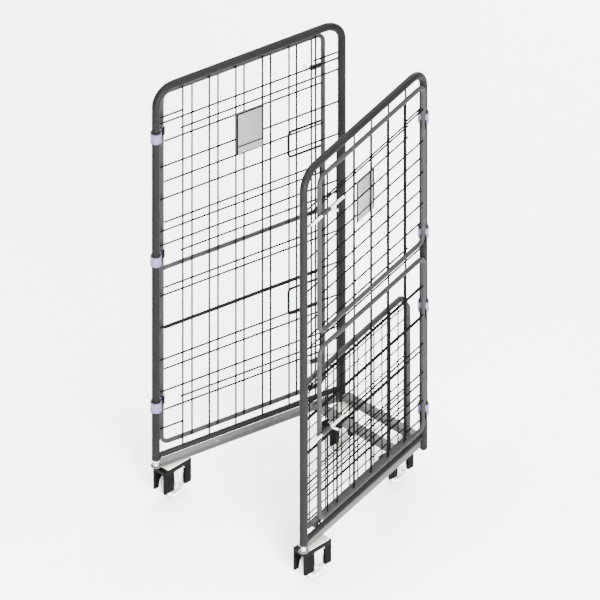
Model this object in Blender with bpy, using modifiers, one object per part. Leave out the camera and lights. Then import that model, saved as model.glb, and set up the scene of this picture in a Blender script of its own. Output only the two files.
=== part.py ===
"""Nestable roll cage container: an A-shaped wheeled base, two mesh sides and three gates.

Metres, +Z up, resting on the floor at Z = 0. The cage stands in its nested state: the wide
end faces -Y, the sides lean together towards +Y, and the deck is folded up against the right
side. Each side is modelled in a frame of its own, whose origin is its front post's axis:
local X points across the cage, local Y runs along the side to the rear post.
"""

from math import asin, atan2, cos, hypot, pi, radians, sin, tan

import bmesh
import bpy
from mathutils import Matrix, Vector

# Whole object
WIDE_WIDTH = 0.702  # between the front post axes
NARROW_WIDTH = 0.388  # between the rear post axes, nested
SIDE_DEPTH = 0.743  # from front to rear post axis
TOTAL_HEIGHT = 1.700
SPLAY = asin((WIDE_WIDTH - NARROW_WIDTH) / 2 / SIDE_DEPTH)
FRONT_Y = -SIDE_DEPTH * cos(SPLAY) / 2
BOX_CENTRE_X = 0.0109  # the bolts stand out further on the right than on the left
GAP = 0.0003  # left between pieces that touch

# Tubes and wires
POST_RADIUS = 0.014
POST_BEND = 0.070
RAIL_RADIUS = 0.010
GATE_TUBE_RADIUS = 0.008
GATE_BEND = 0.030
WIRE = 0.006
WELD_DEPTH = 0.001  # how far crossing wires sink into each other

# Heights
FRONT_POST_FOOT = 0.167
REAR_POST_FOOT = 0.116
RAIL_HEIGHT = 0.180
TOP_TUBE_HEIGHT = TOTAL_HEIGHT - POST_RADIUS

# Side mesh
SIDE_BAYS = 7
SIDE_ROWS = (1.539, 1.493, 1.360, 1.227, 1.095, 1.037, 0.990, 0.830, 0.700, 0.566, 0.435, 0.388)
STUB_ROWS = (1.564, 0.284)  # from a post to the nearest wire only
RIGHT_ROW_DROP = 0.029  # the right side's rows sit this much lower
LABEL_BAY = 3
LABEL_LOW, LABEL_HIGH = 1.305, 1.470
LABEL_THICKNESS = 0.002

# Base
LEG_LOW, LEG_HIGH = 0.1403, 0.165
LEG_WALL = 0.004
LEG_FLANGE = 0.020
LEG_END = 0.722  # ahead of the rear post, which swings clear of it
FOOT_RADIUS = 0.018
PIN_RADIUS = 0.006
PIN_HIGH = 0.232
PIN_COLLAR_RADIUS = 0.010
PIN_COLLAR_HEIGHT = 0.005
BEAM_DEPTH = 0.030
REAR_BEAM_Y = 0.363
MID_BEAM_Y = 0.256
REAR_BEAM_HALF = 0.176

# Castors
WHEEL_RADIUS = 0.056
WHEEL_SIDES = 24
HUB_RADIUS = 0.040
HUB_SIDES = 20
TYRE_WIDTH = 0.036
AXLE_RADIUS = 0.006
AXLE_HEAD_RADIUS = 0.0095
AXLE_HEAD_HEIGHT = 0.004
FORK_INNER = 0.0205
FORK_WALL = 0.004
PLATE_TOP = 0.140
PLATE_THICKNESS = 0.0053
FRONT_CASTOR = (0.333, -0.297)
REAR_SWIVEL = (0.139, 0.319)
TRAIL = 0.028
CROWN_LOW, CROWN_HIGH = 0.114, 0.120
FRONT_PLATE = (0.026, 0.052)  # half its width and half its depth
REAR_PLATE = (0.036, 0.050)
LEG_END_RADIUS = 0.015  # of a fork leg's round end
FRONT_LEG_TOP = (-0.024, 0.024)  # a fork leg's front and rear edges at its top
REAR_LEG_TOP = (-0.018, 0.024)
CROWN_DEPTH = (-0.020, 0.050)
RACE_RADIUS = 0.026
STUD_RADIUS = 0.006
GUARD_OUTER = 0.030
GUARD_WINDOW = 0.026  # half the opening round the fork leg
GUARD_WELL = 0.040  # half the depth of the opening over the fork
GUARD_LOW = 0.045
GUARD_TIE = 0.014
FRONT_GUARD = (-0.070, 0.057)  # its front and rear faces
REAR_GUARD = (-0.060, 0.054)
REAR_GUARD_TOP = 0.112

# Gates
GATE_OFFSET = 0.025  # of a gate's plane outside its side
GATE_NEAR, GATE_FAR = 0.039, 0.684  # tube axes, from the hinge post's axis
GATE_COLUMNS = (0.153, 0.257, 0.361, 0.467, 0.571, 0.630)
FULL_GATE = (0.205, 1.645)
FULL_GATE_MID = 0.923
FULL_GATE_ROWS = (1.449, 1.282, 1.115, 0.847, 0.679, 0.512, 0.345)
FULL_GATE_CLIPS = {"top": 1.493, "mid": 0.987, "bottom": 0.387}
FULL_GATE_BOLTS = {"upper": 1.509, "lower": 0.300}
FULL_GATE_HANDLES = {"upper": 1.227, "lower": 0.581}
UPPER_GATE = (1.010, 1.650)
UPPER_GATE_ROWS = (1.171, 1.299, 1.427, 1.555)
UPPER_GATE_CLIPS = {"top": 1.488, "bottom": 1.016}
UPPER_GATE_BOLT = 1.504
LOWER_GATE = (0.240, 0.945)
LOWER_GATE_ROWS = (0.3575, 0.4750, 0.5925, 0.7100, 0.8275)
LOWER_GATE_CLIPS = {"top": 0.712, "bottom": 0.290}
LOWER_GATE_BOLT = 0.603
CLIP_BORE = 0.01465
CLIP_RADIUS = 0.0195
CLIP_HEIGHT = 0.038
CLIP_ARM = (0.007, 0.030)  # thickness and height
RING_RADIUS = 0.017
RING_HEIGHT = 0.006
BOLT_RADIUS = 0.005
BOLT_OUT = 0.0145  # bolt axis outside the gate's plane
SLEEVE = (0.640, 0.692)
SLEEVE_HALF = 0.008
FULL_GATE_BOLT_ENDS = (0.617, 0.752)
HALF_GATE_BOLT_ENDS = (0.554, 0.754)
HANDLE_WIRE = 0.004
HANDLE_BEND = 0.015
PEG_LENGTH = 0.028
PEG_RADIUS = 0.0045
HANDLE_NEAR, HANDLE_FAR = 0.554, 0.692
HANDLE_HALF = 0.0515

# Deck, folded up against the right side: measured up from its hinge axis
DECK_AXIS_IN = 0.030  # inside the right side's plane
DECK_AXIS_HEIGHT = 0.172
DECK_LEAN = 0.004  # the deck's plane lies outside its axis, so it stays up by itself
DECK_TUBE = 0.010
DECK_NEAR, DECK_FAR = 0.022, 0.618
DECK_FRONT, DECK_REAR = 0.050, 0.685
DECK_CHAMFER = (0.040, 0.060)
DECK_PITCH = 0.050
DECK_WIRE = 0.0045
DECK_FIRST_COLUMN, DECK_FIRST_ROW = 0.079, 0.072
EYE_RADIUS = 0.0065
EYE_LENGTH = 0.030
DECK_PIN_RADIUS = 0.004
DECK_PIN_BORE = 0.0046
DECK_EYES = {"front": (0.120, 1), "rear": (0.590, -1)}  # bracket side of the eye, pin's way

# Colour, roughness, metallic
FINISHES = {
    "post_steel": ((0.19, 0.19, 0.195), 0.38, 0.9),
    "gate_steel": ((0.33, 0.33, 0.335), 0.36, 0.9),
    "wire_steel": ((0.13, 0.13, 0.13), 0.42, 0.9),
    "base_steel": ((0.42, 0.42, 0.41), 0.40, 0.9),
    "castor_steel": ((0.62, 0.62, 0.60), 0.32, 0.9),
    "clip_plastic": ((0.60, 0.57, 0.68), 0.45, 0.0),
    "guard_plastic": ((0.02, 0.02, 0.02), 0.50, 0.0),
    "hub_plastic": ((0.78, 0.78, 0.76), 0.45, 0.0),
    "tyre_rubber": ((0.80, 0.80, 0.78), 0.55, 0.0),
    "label_plate": ((0.62, 0.62, 0.62), 0.50, 0.2),
}


def clear_scene():
    for obj in list(bpy.data.objects):
        bpy.data.objects.remove(obj, do_unlink=True)


def new_collection(name, helper=False):
    collection = bpy.data.collections.new(name)
    collection.hide_render = helper
    bpy.context.scene.collection.children.link(collection)
    return collection


def new_material(name):
    colour, roughness, metallic = FINISHES[name]
    material = bpy.data.materials.new(name)
    material.use_nodes = True
    shader = material.node_tree.nodes["Principled BSDF"]
    shader.inputs["Base Color"].default_value = (*colour, 1.0)
    shader.inputs["Roughness"].default_value = roughness
    shader.inputs["Metallic"].default_value = metallic
    return material


def new_empty(name, location, angle=0.0, parent=None):
    """An axis or a frame that pieces hang from."""
    empty = bpy.data.objects.new(name, None)
    empty.empty_display_size = 0.05
    empty.location = location
    empty.rotation_euler.z = angle
    empty.parent = parent
    PARTS.objects.link(empty)
    return empty


def new_object(name, mesh, finish, parent, smooth=True):
    """Adds a named piece, or a helper where there is no finish."""
    obj = bpy.data.objects.new(name, mesh)
    obj.parent = parent
    if smooth:
        mesh.shade_smooth()
        mesh.set_sharp_from_angle(angle=radians(40))
    if finish is None:
        obj.hide_render = True
        obj.display_type = "WIRE"
        HELPERS.objects.link(obj)
    else:
        mesh.materials.append(MATERIALS[finish])
        PARTS.objects.link(obj)
    return obj


def mesh_of(bm, name):
    mesh = bpy.data.meshes.new(name)
    bm.to_mesh(mesh)
    bm.free()
    return mesh


def add_box(bm, corner, opposite):
    """Adds the box between two opposite corners."""
    corner, opposite = Vector(corner), Vector(opposite)
    size = [abs(a - b) for a, b in zip(corner, opposite)]
    placing = Matrix.Translation((corner + opposite) / 2) @ Matrix.Diagonal((*size, 1.0))
    bmesh.ops.create_cube(bm, size=1.0, matrix=placing)


def boxes(name, corners, finish, parent):
    bm = bmesh.new()
    for corner, opposite in corners:
        add_box(bm, corner, opposite)
    return new_object(name, mesh_of(bm, name), finish, parent, smooth=False)


def rod(name, start, end, radius, finish, parent, sides=12):
    """A round bar from one point to another."""
    start, end = Vector(start), Vector(end)
    along = end - start
    turn = along.to_track_quat("Z", "Y").to_matrix().to_4x4()
    bm = bmesh.new()
    bmesh.ops.create_cone(
        bm,
        cap_ends=True,
        segments=sides,
        radius1=radius,
        radius2=radius,
        depth=along.length,
        matrix=Matrix.Translation((start + end) / 2) @ turn,
    )
    return new_object(name, mesh_of(bm, name), finish, parent)


def rounded_path(corners, radius, steps, closed=False):
    """The corners' polyline, with an arc in place of each corner that isn't an end."""
    corners = [Vector(corner) for corner in corners]
    points = []
    for index, corner in enumerate(corners):
        if not closed and index in (0, len(corners) - 1):
            points.append(corner)
            continue
        back = (corners[index - 1] - corner).normalized()
        ahead = (corners[(index + 1) % len(corners)] - corner).normalized()
        half = back.angle(ahead) / 2
        centre = corner + (back + ahead).normalized() * radius / sin(half)
        first = corner + back * radius / tan(half) - centre
        last = corner + ahead * radius / tan(half) - centre
        sweep = pi - 2 * half
        for step in range(steps + 1):
            turned_by = sweep * step / steps
            spread = first * sin(sweep - turned_by) + last * sin(turned_by)
            points.append(centre + spread / sin(sweep))
    return points


def baked(curve):
    """A curve's closed mesh, with its caps welded on."""
    holder = bpy.data.objects.new(curve.name, curve)
    HELPERS.objects.link(holder)
    graph = bpy.context.evaluated_depsgraph_get()
    mesh = bpy.data.meshes.new_from_object(holder.evaluated_get(graph))
    bpy.data.objects.remove(holder, do_unlink=True)
    bm = bmesh.new()
    bm.from_mesh(mesh)
    bmesh.ops.remove_doubles(bm, verts=bm.verts, dist=1e-6)
    bmesh.ops.recalc_face_normals(bm, faces=bm.faces)
    bm.to_mesh(mesh)
    bm.free()
    return mesh


def add_spline(curve, points, closed):
    spline = curve.splines.new("POLY")
    spline.points.add(len(points) - 1)
    for target, point in zip(spline.points, points):
        target.co = (*point, 1.0)
    spline.use_cyclic_u = closed
    return spline


def tube(name, points, radius, finish, parent, closed=False, sides=8, tip=1.0):
    """A bent tube; tip scales its radius at the last point."""
    curve = bpy.data.curves.new(name, "CURVE")
    curve.dimensions = "3D"
    curve.bevel_depth = radius
    curve.bevel_resolution = sides // 2 - 2
    curve.use_fill_caps = not closed
    spline = add_spline(curve, points, closed)
    spline.points[-1].radius = tip
    return new_object(name, baked(curve), finish, parent)


def plate(name, outlines, thickness, placing, finish, parent):
    """A flat piece in its own XY plane: the first outline is its edge, the others its holes."""
    curve = bpy.data.curves.new(name, "CURVE")
    curve.dimensions = "2D"
    curve.fill_mode = "BOTH"
    curve.extrude = thickness / 2
    for outline in outlines:
        add_spline(curve, [(x, y, 0.0) for x, y in outline], closed=True)
    mesh = baked(curve)
    mesh.transform(placing)
    return new_object(name, mesh, finish, parent, smooth=False)


def turned(name, profile, sides, finish, parent, placing=Matrix()):
    """A ring turned about its own Z axis; the profile runs down its outer side first."""
    bm = bmesh.new()
    corners = [bm.verts.new((radius, 0.0, height)) for radius, height in profile]
    for corner, following in zip(corners, corners[1:] + corners[:1]):
        bm.edges.new((corner, following))
    obj = new_object(name, mesh_of(bm, name), finish, parent)
    obj.matrix_local = placing
    screw = obj.modifiers.new("turn", "SCREW")
    screw.steps = screw.render_steps = sides
    screw.use_merge_vertices = True
    screw.merge_threshold = 0.00001
    return obj


def boolean(target, other, operation):
    modifier = target.modifiers.new(operation.lower(), "BOOLEAN")
    modifier.operation = operation
    modifier.object = other


def join(target, *others):
    for other in others:
        boolean(target, other, "UNION")


def cut(target, *cutters):
    for cutter in cutters:
        boolean(target, cutter, "DIFFERENCE")


def arc(centre, radius, start, end, steps):
    """Points on a circle, between two angles in degrees."""
    angles = [radians(start + (end - start) * step / steps) for step in range(steps + 1)]
    return [(centre[0] + radius * cos(a), centre[1] + radius * sin(a)) for a in angles]


def grille(name, columns, rows, parent):
    """Square wires in two layers, welded where they cross."""
    mesh = boxes(name, columns, "wire_steel", parent)
    join(mesh, boxes(name + "_rows", rows, None, parent))
    return mesh


# Base


def base_leg(name, frame, outward):
    """An angle bar under one side, with a round foot that carries the pivot pin."""
    start = FOOT_RADIUS - LEG_WALL / 2
    web = ((-LEG_WALL / 2, start, LEG_LOW), (LEG_WALL / 2, LEG_END, LEG_HIGH))
    leg = boxes(name, [web], "base_steel", frame)
    flange_edge = -outward * (LEG_FLANGE - LEG_WALL / 2)
    flange = ((outward * LEG_WALL / 2, 0.0, LEG_LOW), (flange_edge, LEG_END, LEG_LOW + LEG_WALL))
    foot_top = (0.0, 0.0, LEG_LOW + LEG_WALL)
    join(
        leg,
        boxes(name + "_flange", [flange], None, frame),
        rod(name + "_foot", (0.0, 0.0, LEG_LOW), foot_top, FOOT_RADIUS, None, frame),
    )


def pivot_pin(name, frame):
    """The pin that a front post turns on."""
    low = LEG_LOW + LEG_WALL + GAP
    collar_top = low + PIN_COLLAR_HEIGHT
    pin = rod(name, (0, 0, low), (0, 0, PIN_HIGH), PIN_RADIUS, "castor_steel", frame)
    top = (0, 0, collar_top)
    join(pin, rod(name + "_collar", (0, 0, low), top, PIN_COLLAR_RADIUS, None, frame))


def leg_flange_edge(y):
    """Half the clear width between the two legs' flanges at a depth in the cage."""
    along = (y - FRONT_Y) / cos(SPLAY)
    return WIDE_WIDTH / 2 - along * sin(SPLAY) - (LEG_FLANGE - LEG_WALL / 2) / cos(SPLAY)


def cross_beam(name, y, half_front, half_rear, root):
    """An inverted channel across the base."""
    front, rear = y - BEAM_DEPTH / 2, y + BEAM_DEPTH / 2
    outline = [(-half_front, front), (half_front, front), (half_rear, rear), (-half_rear, rear)]
    placing = Matrix.Translation((0.0, 0.0, (LEG_LOW + LEG_HIGH) / 2))
    beam = plate(name, [outline], LEG_HIGH - LEG_LOW, placing, "base_steel", root)
    hollow = (
        (-half_front, front + LEG_WALL, LEG_LOW - LEG_WALL),
        (half_front, rear - LEG_WALL, LEG_HIGH - LEG_WALL),
    )
    cut(beam, boxes(name + "_hollow", [hollow], None, root))


def build_base(root, frames):
    for side, (outward, frame) in frames.items():
        base_leg(f"base_leg_{side}", frame, outward)
        pivot_pin(f"pivot_pin_{side}", frame)
    cross_beam("base_rear_beam", REAR_BEAM_Y, REAR_BEAM_HALF, REAR_BEAM_HALF, root)
    ends = [leg_flange_edge(MID_BEAM_Y + way * BEAM_DEPTH / 2) - GAP for way in (-1, 1)]
    cross_beam("base_mid_beam", MID_BEAM_Y, *ends, root)


# Castors, each in a frame whose origin is on the floor under the axle


def wheel(name, axle):
    """A hub and the tyre round it. The tyre's flats touch the floor."""
    across = Matrix.Rotation(pi / 2, 4, "Y") @ Matrix.Rotation(pi / WHEEL_SIDES, 4, "Z")
    rim = WHEEL_RADIUS / cos(pi / WHEEL_SIDES)
    half, crown = TYRE_WIDTH / 2, 0.7 * TYRE_WIDTH / 2
    bead = HUB_RADIUS + 2 * GAP
    tyre = [(rim, crown), (rim, -crown), (rim - 0.005, -half), (bead, -half), (bead, half)]
    tyre.append((rim - 0.005, half))
    turned(name + "_tyre", tyre, WHEEL_SIDES, "tyre_rubber", axle, across)
    boss, web, bore = 0.017, 0.008, AXLE_RADIUS + 2 * GAP
    hub = [(HUB_RADIUS, half - 0.002), (HUB_RADIUS, -half + 0.002), (boss, -web)]
    hub += [(bore, -half), (bore, half), (boss, web)]
    turned(name + "_hub", hub, HUB_SIDES, "hub_plastic", axle, across)


def axle_bolt(name, axle):
    shoulder = FORK_INNER + FORK_WALL + GAP
    head = shoulder + AXLE_HEAD_HEIGHT
    pin = rod(name, (-head, 0, 0), (head, 0, 0), AXLE_RADIUS, "castor_steel", axle)
    heads = [(way * shoulder, way * head) for way in (-1, 1)]
    for number, (inner, outer) in enumerate(heads):
        ends = (inner, 0, 0), (outer, 0, 0)
        join(pin, rod(f"{name}_head{number}", *ends, AXLE_HEAD_RADIUS, None, axle, 6))


def fork_leg_outline(top, front, rear, centre):
    """A tapered leg with a round end, in a plane of depth and height, and its axle hole."""
    end = arc(centre, LEG_END_RADIUS, 180, 360, 6)
    hole = arc(centre, AXLE_RADIUS + 2 * GAP, 0, 330, 11)
    return [[(front, top), *end, (rear, top)], hole]


def fork_legs(name, outline, axle_frame):
    """Both legs of a fork, as helpers that join its plate."""
    upright = Matrix.Rotation(pi / 2, 4, "Z") @ Matrix.Rotation(pi / 2, 4, "X")
    legs = []
    for way in (-1, 1):
        place = Matrix.Translation((way * (FORK_INNER + FORK_WALL / 2), 0.0, 0.0)) @ upright
        legs.append(plate(f"{name}_leg{way}", outline, FORK_WALL, place, None, axle_frame))
    return legs


def guard(name, frame, front, rear, top):
    """A dark housing: four corner blocks round the wheel, tied at the top of each end."""
    inner = FORK_INNER - 0.0005
    body = boxes(
        name,
        [((-GUARD_OUTER, front, GUARD_LOW), (GUARD_OUTER, rear, top))],
        "guard_plastic",
        frame,
    )
    below, over = top - GUARD_TIE, top + GUARD_TIE
    channel = FORK_INNER + FORK_WALL + 0.0005
    cutters = [
        ((-inner, front - GUARD_TIE, 0.0), (inner, rear + GUARD_TIE, below)),
        ((-inner, -GUARD_WELL, 0.0), (inner, GUARD_WELL, over)),
        ((-2 * GUARD_OUTER, -GUARD_WINDOW, 0.0), (2 * GUARD_OUTER, GUARD_WINDOW, below)),
        ((-channel, -GUARD_WELL, below - GUARD_TIE), (channel, GUARD_WELL, over)),
    ]
    for number, cutter in enumerate(cutters):
        cut(body, boxes(f"{name}_cut{number}", [cutter], None, frame))


def front_castor(name, outward, root):
    """A fixed castor: its plate and fork are one piece."""
    x, y = outward * FRONT_CASTOR[0], FRONT_CASTOR[1]
    floor = new_empty(name + "_frame", (x, y, 0.0), parent=root)
    axle = new_empty(name + "_axle_line", (0.0, 0.0, WHEEL_RADIUS), parent=floor)
    low = PLATE_TOP - PLATE_THICKNESS
    half_width, half_depth = FRONT_PLATE
    top = ((-half_width, -half_depth, low), (half_width, half_depth, PLATE_TOP))
    fork = boxes(name + "_castor_fork", [top], "castor_steel", floor)
    outline = fork_leg_outline(low + 0.001, *FRONT_LEG_TOP, (0.0, WHEEL_RADIUS))
    join(fork, *fork_legs(name, outline, floor))
    guard(name + "_castor_guard", floor, *FRONT_GUARD, low - GAP)
    axle_bolt(name + "_axle", axle)
    wheel(name + "_wheel", axle)


def rear_castor(name, outward, root):
    """A swivel castor: a plate on the base, and a fork that turns under it."""
    x, y = outward * REAR_SWIVEL[0], REAR_SWIVEL[1]
    swivel = new_empty(name + "_swivel_line", (x, y, 0.0), parent=root)
    floor = new_empty(name + "_frame", (0.0, -TRAIL, 0.0), parent=swivel)
    axle = new_empty(name + "_axle_line", (0.0, 0.0, WHEEL_RADIUS), parent=floor)
    low = PLATE_TOP - PLATE_THICKNESS
    half_width, half_depth = REAR_PLATE
    top = ((-half_width, -half_depth, low), (half_width, half_depth, PLATE_TOP))
    mount = boxes(name + "_castor_plate", [top], "castor_steel", swivel)
    race_ends = (0, 0, CROWN_HIGH + 0.0005), (0, 0, low + 0.001)
    boss = rod(name + "_boss", *race_ends, RACE_RADIUS, None, swivel, 16)
    bore_ends = (0, 0, 0), (0, 0, 2 * PLATE_TOP)
    bore = rod(name + "_bore", *bore_ends, STUD_RADIUS + 0.0005, None, swivel)
    join(mount, boss)
    cut(mount, bore)
    fork_half = FORK_INNER + FORK_WALL
    crown = ((-fork_half, CROWN_DEPTH[0], CROWN_LOW), (fork_half, CROWN_DEPTH[1], CROWN_HIGH))
    fork = boxes(name + "_castor_fork", [crown], "castor_steel", floor)
    outline = fork_leg_outline(CROWN_HIGH - 0.001, *REAR_LEG_TOP, (0.0, WHEEL_RADIUS))
    join(fork, *fork_legs(name, outline, floor))
    stud_ends = (0, TRAIL, CROWN_HIGH - 0.001), (0, TRAIL, low)
    join(fork, rod(name + "_stud", *stud_ends, STUD_RADIUS, None, floor))
    guard(name + "_castor_guard", floor, *REAR_GUARD, REAR_GUARD_TOP)
    axle_bolt(name + "_axle", axle)
    wheel(name + "_wheel", axle)


def build_castors(root):
    for side, outward in (("left", -1), ("right", 1)):
        front_castor(f"front_{side}", outward, root)
        rear_castor(f"rear_{side}", outward, root)


# Sides


def side_frame(name, frame, hinge_y, gates):
    """The U-shaped tube, bored for its pivot pin, with a welded ring over each gate clip."""
    corners = [
        (0, 0, FRONT_POST_FOOT),
        (0, 0, TOP_TUBE_HEIGHT),
        (0, SIDE_DEPTH, TOP_TUBE_HEIGHT),
        (0, SIDE_DEPTH, REAR_POST_FOOT + POST_RADIUS),
    ]
    path = rounded_path(corners, POST_BEND, 6) + [Vector((0, SIDE_DEPTH, REAR_POST_FOOT))]
    body = tube(name, path, POST_RADIUS, "post_steel", frame, sides=12, tip=0.35)
    reach = CLIP_HEIGHT / 2 + GAP
    for gate, clips in gates.items():
        rings = [height + reach for height in clips.values()]
        rings.append(min(clips.values()) - reach - RING_HEIGHT)
        for number, low in enumerate(rings):
            ends = (0, hinge_y, low), (0, hinge_y, low + RING_HEIGHT)
            join(body, rod(f"{name}_{gate}_ring{number}", *ends, RING_RADIUS, None, frame))
    bore = PIN_RADIUS + 2 * GAP
    ends = (0, 0, FRONT_POST_FOOT - bore), (0, 0, PIN_HIGH + GAP)
    cut(body, rod(name + "_bore", *ends, bore, None, frame))


def side_mesh(name, frame, outward, clips_front, clips_rear):
    """The side's grille. A row stops at the first wire where a gate clip turns on the post."""
    pitch = SIDE_DEPTH / SIDE_BAYS
    half = WIRE / 2
    inner = -outward * (WIRE - WELD_DEPTH / 2)
    outer = outward * (WIRE - WELD_DEPTH / 2)
    sunk = outward * WELD_DEPTH / 2
    low = RAIL_HEIGHT + RAIL_RADIUS + GAP
    high = TOP_TUBE_HEIGHT - POST_RADIUS - GAP
    columns = []
    for index in range(1, SIDE_BAYS):
        y = index * pitch
        columns.append(((inner, y - half, low), (sunk, y + half, high)))
    front, rear = POST_RADIUS + GAP, SIDE_DEPTH - POST_RADIUS - GAP
    past = WIRE  # a row that stops early ends a little past the wire
    near, far = pitch - past, SIDE_DEPTH - pitch + past

    def held(height, clips):
        room = CLIP_HEIGHT / 2 + RING_HEIGHT + WIRE
        return any(abs(height - level) < room for level in clips)

    rows = []
    drop = RIGHT_ROW_DROP if outward > 0 else 0.0
    for z in (height - drop for height in SIDE_ROWS):
        start = near if held(z, clips_front) else front
        end = far if held(z, clips_rear) else rear
        rows.append(((-sunk, start, z - half), (outer, end, z + half)))
    for z in (height - drop for height in STUB_ROWS):
        if not held(z, clips_front):
            rows.append(((-sunk, front, z - half), (outer, pitch + past, z + half)))
        if not held(z, clips_rear):
            rows.append(((-sunk, far - 2 * past, z - half), (outer, rear, z + half)))
    grille(name, columns, rows, frame)


def side_label(name, frame, outward, face):
    """A blank label plate over one bay, on the mesh's inner (-1) or outer (1) face."""
    pitch = SIDE_DEPTH / SIDE_BAYS
    x = outward * face * (WIRE + GAP)
    thick = outward * face * LABEL_THICKNESS
    low = (x, LABEL_BAY * pitch, LABEL_LOW)
    high = (x + thick, (LABEL_BAY + 1) * pitch, LABEL_HIGH)
    boxes(name, [(low, high)], "label_plate", frame)


def build_side(side, frame, outward, hinge_y, gates, label_face):
    name = f"side_{side}"
    side_frame(name + "_frame", frame, hinge_y, gates)
    ends = (0, POST_RADIUS + GAP, RAIL_HEIGHT), (0, SIDE_DEPTH - POST_RADIUS - GAP, RAIL_HEIGHT)
    rod(name + "_rail", *ends, RAIL_RADIUS, "post_steel", frame)
    levels = [height for clips in gates.values() for height in clips.values()]
    at_front = levels if hinge_y == 0 else []
    at_rear = [] if hinge_y == 0 else levels
    side_mesh(name + "_mesh", frame, outward, at_front, at_rear)
    side_label(name + "_label", frame, outward, label_face)


# Gates, each in a frame whose origin is its hinge post's axis


class GatePlace:
    """Turns a distance from the hinge, a height and an outward step into a point."""

    def __init__(self, pivot, outward, along):
        self.pivot = pivot
        self.outward = outward
        self.along = along

    def at(self, distance, height, out=0.0):
        return Vector((self.outward * (GATE_OFFSET + out), self.along * distance, height))


def gate_frame(name, place, low, high, bolt_heights, mid=None):
    """A closed tube loop, its mid tube if it has one, and a sleeve for each bolt."""
    corners = [
        place.at(GATE_NEAR, low),
        place.at(GATE_FAR, low),
        place.at(GATE_FAR, high),
        place.at(GATE_NEAR, high),
    ]
    path = rounded_path(corners, GATE_BEND, 4, closed=True)
    body = tube(name, path, GATE_TUBE_RADIUS, "gate_steel", place.pivot, closed=True)
    if mid is not None:
        ends = place.at(GATE_NEAR, mid), place.at(GATE_FAR, mid)
        join(body, rod(name + "_mid", *ends, 0.95 * GATE_TUBE_RADIUS, None, place.pivot, 8))
    bores = []
    for number, height in enumerate(bolt_heights):
        inside = GATE_TUBE_RADIUS - 0.0025
        near = place.at(SLEEVE[0], height - SLEEVE_HALF, inside)
        far = place.at(SLEEVE[1], height + SLEEVE_HALF, BOLT_OUT + SLEEVE_HALF)
        join(body, boxes(f"{name}_sleeve{number}", [(near, far)], None, place.pivot))
        ends = place.at(SLEEVE[0] - 0.01, height, BOLT_OUT), place.at(SLEEVE[1] + 0.01, height, BOLT_OUT)
        bores.append(rod(f"{name}_bore{number}", *ends, BOLT_RADIUS + 2 * GAP, None, place.pivot))
    cut(body, *bores)


def gate_mesh(name, place, low, high, row_heights, inset):
    """The gate's grille; inset moves it inwards, past a mid tube."""
    half = WIRE / 2
    column_low, column_high = low, high
    if inset == 0:
        column_low, column_high = low + GATE_TUBE_RADIUS + GAP, high - GATE_TUBE_RADIUS - GAP
    inner = -inset - WIRE + WELD_DEPTH
    columns = [
        (
            place.at(d - half, column_low, -inset + WELD_DEPTH / 2),
            place.at(d + half, column_high, inner - WELD_DEPTH / 2),
        )
        for d in GATE_COLUMNS
    ]
    near, far = GATE_NEAR + GATE_TUBE_RADIUS + GAP, GATE_FAR - GATE_TUBE_RADIUS - GAP
    rows = [
        (
            place.at(near, z - half, -inset - WELD_DEPTH / 2),
            place.at(far, z + half, -inset - WELD_DEPTH / 2 + WIRE),
        )
        for z in row_heights
    ]
    grille(name, columns, rows, place.pivot)


def gate_clip(name, place, height):
    """A plastic collar round the hinge post, with an arm to the gate's near tube."""
    half = CLIP_HEIGHT / 2
    ring = [(CLIP_RADIUS, half), (CLIP_RADIUS, -half), (CLIP_BORE, -half), (CLIP_BORE, half)]
    at_height = Matrix.Translation((0.0, 0.0, height))
    collar = turned(name, ring, 16, "clip_plastic", place.pivot, at_height)
    toward = place.at(GATE_NEAR, 0.0)
    reach = hypot(toward.x, toward.y) - GATE_TUBE_RADIUS - GAP
    thick, tall = CLIP_ARM
    root = (CLIP_RADIUS + CLIP_BORE) / 2
    arm = boxes(
        name + "_arm",
        [((root, -thick / 2, -tall / 2), (reach, thick / 2, tall / 2))],
        None,
        place.pivot,
    )
    arm.matrix_local = at_height @ Matrix.Rotation(atan2(toward.y, toward.x), 4, "Z")
    join(collar, arm)


def gate_bolt(name, place, height, ends):
    """A slide bolt, with a peg that stops it at its sleeve."""
    start, end = (place.at(distance, height, BOLT_OUT) for distance in ends)
    bolt = rod(name, start, end, BOLT_RADIUS, "castor_steel", place.pivot)
    peg_at = SLEEVE[0] - 0.006
    peg = place.at(peg_at, height, BOLT_OUT), place.at(peg_at, height, BOLT_OUT + PEG_LENGTH)
    join(bolt, rod(name + "_peg", *peg, PEG_RADIUS, None, place.pivot, 8))


def gate_handle(name, place, height):
    """A bent wire loop welded across the free end's tube."""
    out = GATE_TUBE_RADIUS + HANDLE_WIRE + GAP
    corners = [
        place.at(HANDLE_FAR, height + HANDLE_HALF, out),
        place.at(HANDLE_NEAR, height + HANDLE_HALF, out),
        place.at(HANDLE_NEAR, height - HANDLE_HALF, out),
        place.at(HANDLE_FAR, height - HANDLE_HALF, out),
    ]
    path = rounded_path(corners, HANDLE_BEND, 4)
    tube(name, path, HANDLE_WIRE, "castor_steel", place.pivot)


def build_full_gate(side_frame_empty):
    pivot = new_empty("full_gate_pivot", (0.0, 0.0, 0.0), parent=side_frame_empty)
    place = GatePlace(pivot, outward=-1, along=1)
    gate_frame("full_gate_frame", place, *FULL_GATE, FULL_GATE_BOLTS.values(), FULL_GATE_MID)
    past_mid = GATE_TUBE_RADIUS + GAP + WELD_DEPTH
    gate_mesh("full_gate_mesh", place, *FULL_GATE, FULL_GATE_ROWS, past_mid)
    for level, height in FULL_GATE_CLIPS.items():
        gate_clip(f"full_gate_clip_{level}", place, height)
    for level, height in FULL_GATE_BOLTS.items():
        gate_bolt(f"full_gate_bolt_{level}", place, height, FULL_GATE_BOLT_ENDS)
    for level, height in FULL_GATE_HANDLES.items():
        gate_handle(f"full_gate_handle_{level}", place, height)


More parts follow.
